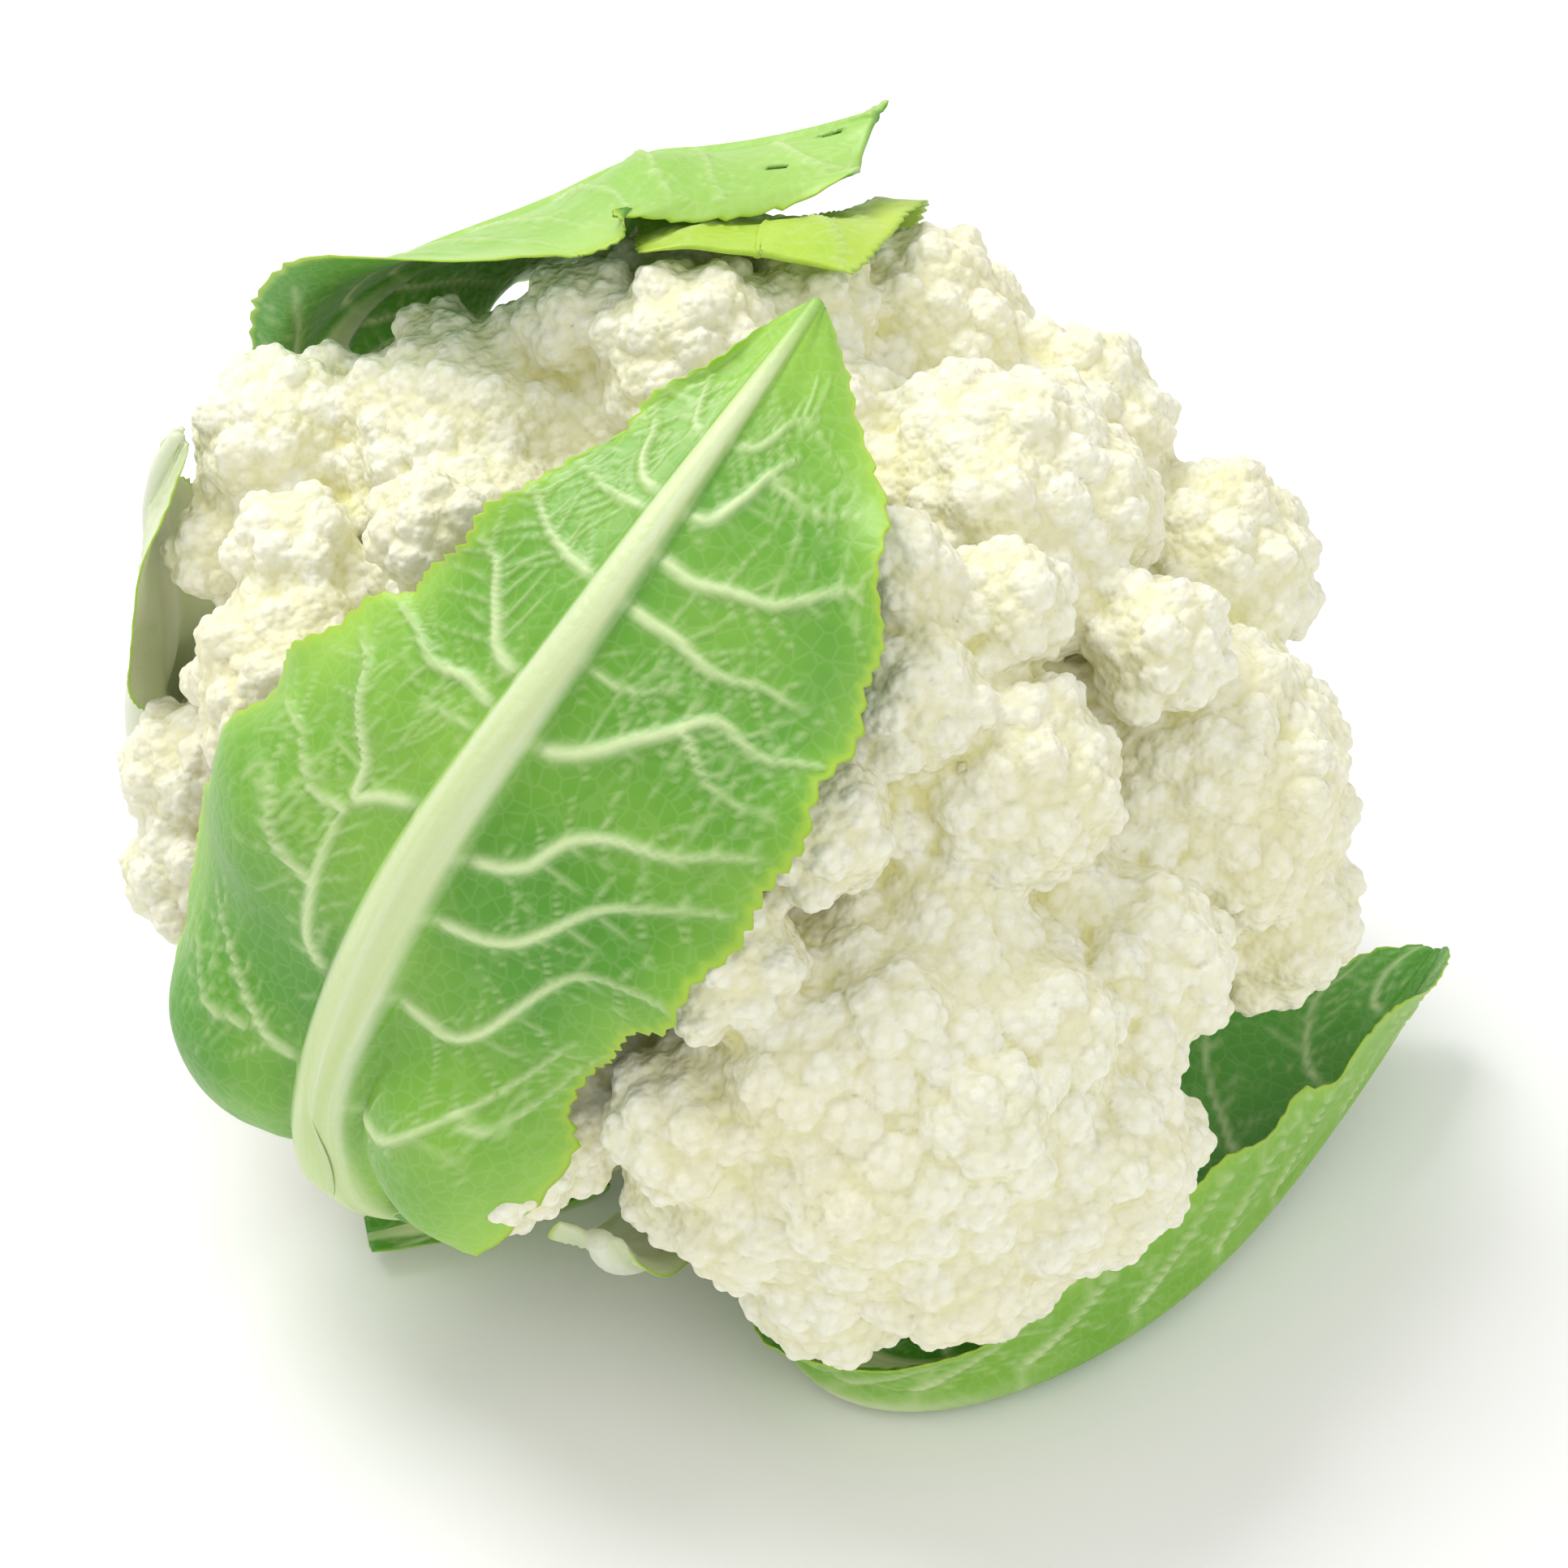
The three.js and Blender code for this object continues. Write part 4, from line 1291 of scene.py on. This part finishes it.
@dataclass
class Stub:
    """A petiole that was cut short when the head was trimmed."""

    name: str
    turn: float
    length: float
    finish: StalkFinish
    radius: float = 7.5
    start: float = 21.0
    low: float = 11.0
    high: float = 20.0

    def build(self) -> bpy.types.Object:
        """Builds the stub as a ribbed, flattened tube with a cut end."""
        way = np.array([math.cos(math.radians(self.turn)), math.sin(math.radians(self.turn)), 0])
        up = np.array([0, 0, 1.0])
        side = np.cross(up, way)
        path = np.array([way * (self.start + self.length * k) + up * z for k, z in (
            (0, self.low), (0.5, self.low), (1, self.high))])
        bm = bmesh.new()
        ring = bmesh.ops.create_circle(bm, cap_ends=True, segments=48, radius=1.0)["verts"]
        shape = np.array([v.co for v in ring])
        face = next(iter(bm.faces))
        ridges = 1 + 0.03 * np.cos(9 * np.arctan2(shape[:, 1], shape[:, 0]))
        shape = shape[:, :2] * ridges[:, None] * self.radius * np.array([1, 0.6])
        steps = 26
        for k in range(steps + 1):
            u = k / steps
            place = spline(path, u)
            along = unit(spline(path, min(u + 0.02, 1)) - spline(path, max(u - 0.02, 0)))
            lift = np.cross(along, side)
            if k:
                extruded = bmesh.ops.extrude_face_region(bm, geom=[face])["geom"]
                face = next(part for part in extruded if isinstance(part, bmesh.types.BMFace))
                ring = list(face.verts)
            for vert, (a, b) in zip(ring, shape):
                vert.co = Vector((place + side * a - lift * b) * MM)
        bmesh.ops.inset_region(bm, faces=[face], thickness=0.0012, depth=-0.0006)
        bmesh.ops.recalc_face_normals(bm, faces=bm.faces)
        for part in bm.faces:
            part.smooth = len(part.verts) == 4
        made = new_object(self.name, bm)
        made.data.materials.append(self.finish.material())
        return made


GREEN = LeafFinish("leaf_bright", (0.36, 0.62, 0.08), (0.075, 0.30, 0.010), (0.07, 0.29, 0.012))
TOP_GREEN = LeafFinish("leaf_top", (0.44, 0.66, 0.16), (0.23, 0.50, 0.06), (0.08, 0.33, 0.008))
DEEP_GREEN = LeafFinish("leaf_deep", (0.28, 0.53, 0.05), (0.12, 0.36, 0.018), (0.07, 0.31, 0.008))
YOUNG = LeafFinish("leaf_young", (0.52, 0.68, 0.07), (0.34, 0.58, 0.03), (0.40, 0.62, 0.04))
PALE = LeafFinish("leaf_pale", (0.62, 0.70, 0.38), (0.68, 0.73, 0.52), (0.68, 0.73, 0.52),
                  rib=(0.74, 0.78, 0.60), petiole=(0.66, 0.74, 0.44))


def leaves() -> list[tuple[str, Leaf]]:
    """Lists the leaves in the order in which they are laid, each with its node."""
    return [
        ("leaf_base", Leaf(
            "base_leaf", "leaf_pale", PALE,
            rib=((-5.5, -21.5, 11), (-9, -38, 12), (-14, -53, 18), (-17, -63, 27), (-18, -68, 36)),
            radius=(6, 5.6, 4.6, 3.4, 1.8),
            left=Half((0, 5, 8, 9, 6), curl=(-10, -16)),
            right=Half((0, 5, 8, 9, 6), curl=(-10, -20)),
            rows=10, blade=3, ripple=0.1, tooth=0.1)),
        ("leaf_back_inner", Leaf(
            "inner_leaf", "leaf_green", YOUNG,
            rib=((5, 21, 11), (6, 44, 14), (8, 68, 26), (9, 84, 48), (9, 84, 76), (8, 72, 102), (7, 54, 121),
                 (5, 33, 133), (3, 8, 140)),
            radius=(7, 7, 6.5, 5.6, 4.2, 2.4, 1.0, 0.5, 0.4),
            left=Half((0, 4, 10, 15, 18, 20, 20, 19, 13), curl=(-10, -14)),
            right=Half((0, 4, 10, 14, 16, 18, 20, 20, 15), curl=(-10, -14)),
            rows=16, blade=3, ripple=0.8, tooth=1.2, tone=0.4, rib_fade=0.6)),
        ("leaf_left", Leaf(
            "left_leaf", "leaf_pale", PALE,
            rib=((-20.5, 6, 11), (-40, 11, 13), (-60, 18, 20), (-75, 24, 36), (-79, 24, 58), (-82, 19, 79),
                 (-81, 11, 97), (-74, 9, 111)),
            radius=(7.5, 7.5, 7, 6, 4.6, 3.4, 2.2, 1),
            left=Half((0, 0, 7, 11, 13, 13, 10, 2), curl=(-16, -20, -20)),
            right=Half((0, 0, 6, 9, 12, 20, 15, 2), curl=(-16, -24, -24)),
            rows=16, blade=3, ripple=0.6, tooth=1.0)),
        ("leaf_back", Leaf(
            "back_leaf", "leaf_green", TOP_GREEN,
            rib=((-10.5, 18.5, 11), (-26, 38, 13), (-46, 57, 25), (-60, 64, 46), (-67, 60, 70),
                 (-66, 52, 93), (-57, 47, 112), (-42, 47, 119), (-25, 51, 121.5), (-8, 53, 125.5),
                 (7, 50, 133), (19, 44, 141)),
            facing=((-0.23, 0.4, -0.89), (-0.4, 0.6, -0.6), (-0.59, 0.73, -0.35), (-0.68, 0.73, -0.07),
                    (-0.73, 0.66, 0.17), (-0.6, 0.78, 0.15), (-0.35, 0.8, 0.48), (-0.1, 0.6, 0.8),
                    (0, 0.5, 0.87), (0, 0.5, 0.87), (0, 0.3, 0.95), (0, -0.3, 0.95)),
            radius=(8.5, 8.5, 8, 7, 5.6, 4, 2.8, 2.2, 1.9, 1.7, 1.3, 0.8),
            left=Half((0, 0, 4, 12, 18, 20, 22, 24, 24, 20, 14, 5), curl=(-20, -30, -60, -60, -20)),
            right=Half((0, 0, 4, 8, 7, 5.5, 18, 44, 47, 47, 37, 14), lean=(0, 0, 0, 0, 5, 7),
                       curl=(-20, -20, -20, -22, -30)),
            rows=26, blade=6, ripple=1.0, tooth=1.3, tone=0.25, rib_fade=0.55,
            holes=((0.965, 0.14, 2.0, 0.9), (0.94, 0.5, 1.2, 0.9)))),
        ("leaf_front", Leaf(
            "front_leaf", "leaf_green", GREEN,
            rib=((-17, -13, 11), (-30, -23, 11.5), (-44, -35, 15), (-52, -49, 28), (-53, -58, 46),
                 (-48.7, -61, 67), (-42.7, -62, 86), (-34.7, -61, 101), (-25, -58, 115), (-16, -51, 126),
                 (-8, -42, 134), (2, -29, 141), (10.5, -13, 145)),
            radius=(7.9, 8.2, 8.2, 7.8, 7, 6, 5.2, 4.5, 3.7, 3, 2.4, 1.7, 0.8),
            left=Half((0, 0, 0, 12, 30, 41, 38, 34, 27, 21, 17, 9, 1.5), curl=(-12, -28, -26, -16),
                      tone=(0.0, -0.2, -0.1, 0.1, 0.15, 0.4)),
            right=Half((0, 0, 2, 5, 18, 31, 34, 38, 38, 36, 32, 19, 1.5), curl=(-50, -50, -30, -18),
                       tone=(0.2, 0.2, 0.1, -0.2, -0.25, 0.35)),
            rows=30, blade=4, ripple=1.6, tooth=1.4, tone=0.1, veins=FRONT_VEINS, step=0.85)),
        ("leaf_right", Leaf(
            "right_leaf", "leaf_green", DEEP_GREEN,
            rib=((12.8, -20.2, 10.5), (9, -41, 9), (10, -60, 6), (22, -68, 4), (44, -61, 3.8), (66, -43, 4),
                 (82, -21, 6), (95, -3, 10), (106, 13, 16)),
            facing=((0.1, -0.2, -1), (0, -0.1, -1), (0, -0.2, -1), (0.2, -0.2, -1), (0.5, -0.3, -1)),
            radius=(7, 6.5, 5.6, 4.4, 4, 3.6, 3, 2.2, 0.9),
            left=Half((0, 5, 9, 16, 22, 22, 20, 17, 3), lean=(-20, -40, -80, -88, -60, -26),
                      curl=(-20, -30, -16, 0)),
            right=Half((0, 6, 14, 24, 32, 34, 32, 22, 3), lean=(-6, -8, -16, -26, -24),
                       curl=(-10, -24, -26, -20)),
            rows=26, blade=4, ripple=1.2, tooth=1.3, tone=0.3, rib_fade=0.42)),
        ("leaf_under", Leaf(
            "under_leaf", "leaf_green", GREEN,
            rib=((-21, -22, 3.2), (-30.5, -28, 2.9), (-42, -33, 2.9), (-53.5, -36, 3.4)),
            facing=((0, 0, -1), (0, 0, -1)),
            radius=(3.2, 2.8, 2.2, 1),
            left=Half((4, 6, 6, 4), curl=(-6, -16)),
            right=Half((3.6, 3.2, 3, 3.4), curl=(-6, -16)),
            rows=10, blade=2, ripple=0.3, tooth=0.9, tone=0.3, vein_gap=9.0)),
    ]


@dataclass
class Studio:
    """The pale floor, the soft lights and the camera."""

    target: Point = (0.0, 0.0, 52.0)
    lift: float = 38.0
    distance: float = 531.0
    lens: float = 85.0
    sensor: float = 36.0
    photo_px: float = 1932.0
    target_px: tuple[float, float] = (912.0, 1010.0)
    floor_size: float = 30.0
    floor_colour: Colour = (0.96, 0.96, 0.95)
    surroundings: float = 0.68
    lamps: tuple[tuple[str, Point, float, float], ...] = (
        ("key", (-0.40, 0.30, 1.0), 0.6, 7.6),
        ("fill", (0.5, -0.9, 0.8), 1.0, 3.2),
    )

    def camera(self) -> None:
        """Puts the camera where the photograph was taken from."""
        lift = math.radians(self.lift)
        forward = Vector((0, math.cos(lift), -math.sin(lift)))
        upward = Vector((0, math.sin(lift), math.cos(lift)))
        scale = self.distance * self.sensor / self.lens / self.photo_px
        right_shift = (self.target_px[0] - self.photo_px / 2) * scale
        down_shift = (self.target_px[1] - self.photo_px / 2) * scale
        level = Vector(self.target) - forward * self.distance - Vector((right_shift, 0, 0))
        eye = level + upward * down_shift
        data = bpy.data.cameras.new("camera")
        data.lens = self.lens
        data.sensor_width = self.sensor
        seen = bpy.data.objects.new("camera", data)
        seen.location = eye * MM
        seen.rotation_euler = (math.pi / 2 - lift, 0, 0)
        bpy.context.scene.collection.objects.link(seen)
        bpy.context.scene.camera = seen

    def light(self, name: str, place: Point, size: float, power: float) -> None:
        """Hangs a soft square light that faces the head."""
        data = bpy.data.lights.new(name, "AREA")
        data.size = size
        data.energy = power
        lamp = bpy.data.objects.new(name, data)
        lamp.location = place
        way = Vector(self.target) * MM - Vector(place)
        lamp.rotation_euler = way.to_track_quat("-Z", "Y").to_euler()
        bpy.context.scene.collection.objects.link(lamp)

    def floor(self) -> None:
        """Lays the pale floor."""
        bm = bmesh.new()
        bmesh.ops.create_grid(bm, x_segments=4, y_segments=4, size=self.floor_size / 2)
        floor = new_object("floor", bm)
        shader = Shader("floor_white")
        shader.surface.inputs["Roughness"].default_value = 0.9
        shader.surface.inputs["Specular IOR Level"].default_value = 0.1
        shader.surface.inputs["Base Color"].default_value = (*self.floor_colour, 1)
        floor.data.materials.append(shader.material)

    def build(self) -> None:
        """Sets up the floor, the lights, the surroundings and the camera."""
        self.floor()
        self.camera()
        world = bpy.data.worlds.new("surroundings")
        world.use_nodes = True
        world.node_tree.nodes["Background"].inputs["Color"].default_value = (1, 1, 1, 1)
        world.node_tree.nodes["Background"].inputs["Strength"].default_value = self.surroundings
        bpy.context.scene.world = world
        for lamp in self.lamps:
            self.light(*lamp)
        bpy.context.scene.view_settings.view_transform = "Standard"


def attach(piece: bpy.types.Object, node: str) -> None:
    """Makes a finished piece ride on the head and stand for its solid."""
    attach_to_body(piece, BODY)
    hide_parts(node)
    count = sum(len(face.vertices) - 2 for face in piece.data.polygons)
    LOG.info("%s: %d triangles", piece.name, count)


def main() -> None:
    """Builds the head and its surroundings."""
    logging.basicConfig(level=logging.INFO, format="%(message)s")
    Studio().build()
    parts = leaves()
    front_rib = next(np.array(leaf.rib, float) for node, leaf in parts if node == "leaf_front")
    curd = Curd(CurdFinish())
    balls = curd.florets(front_rib)
    for piece in curd.build(balls):
        attach(piece, "curd")
    flesh = StalkFinish()
    attach(Stalk(flesh).build(), "stalk")
    over = Obstacles(np.array([b.centre for b in balls]), np.array([b.radius for b in balls]))
    for node, leaf in parts:
        attach(leaf.build(over), node)
    attach(Stub("right_stub", -14, 25, flesh).build(), "stub_right")
    attach(Stub("back_right_stub", 32, 50, flesh).build(), "stub_back_right")


if __name__ == "__main__":
    main()
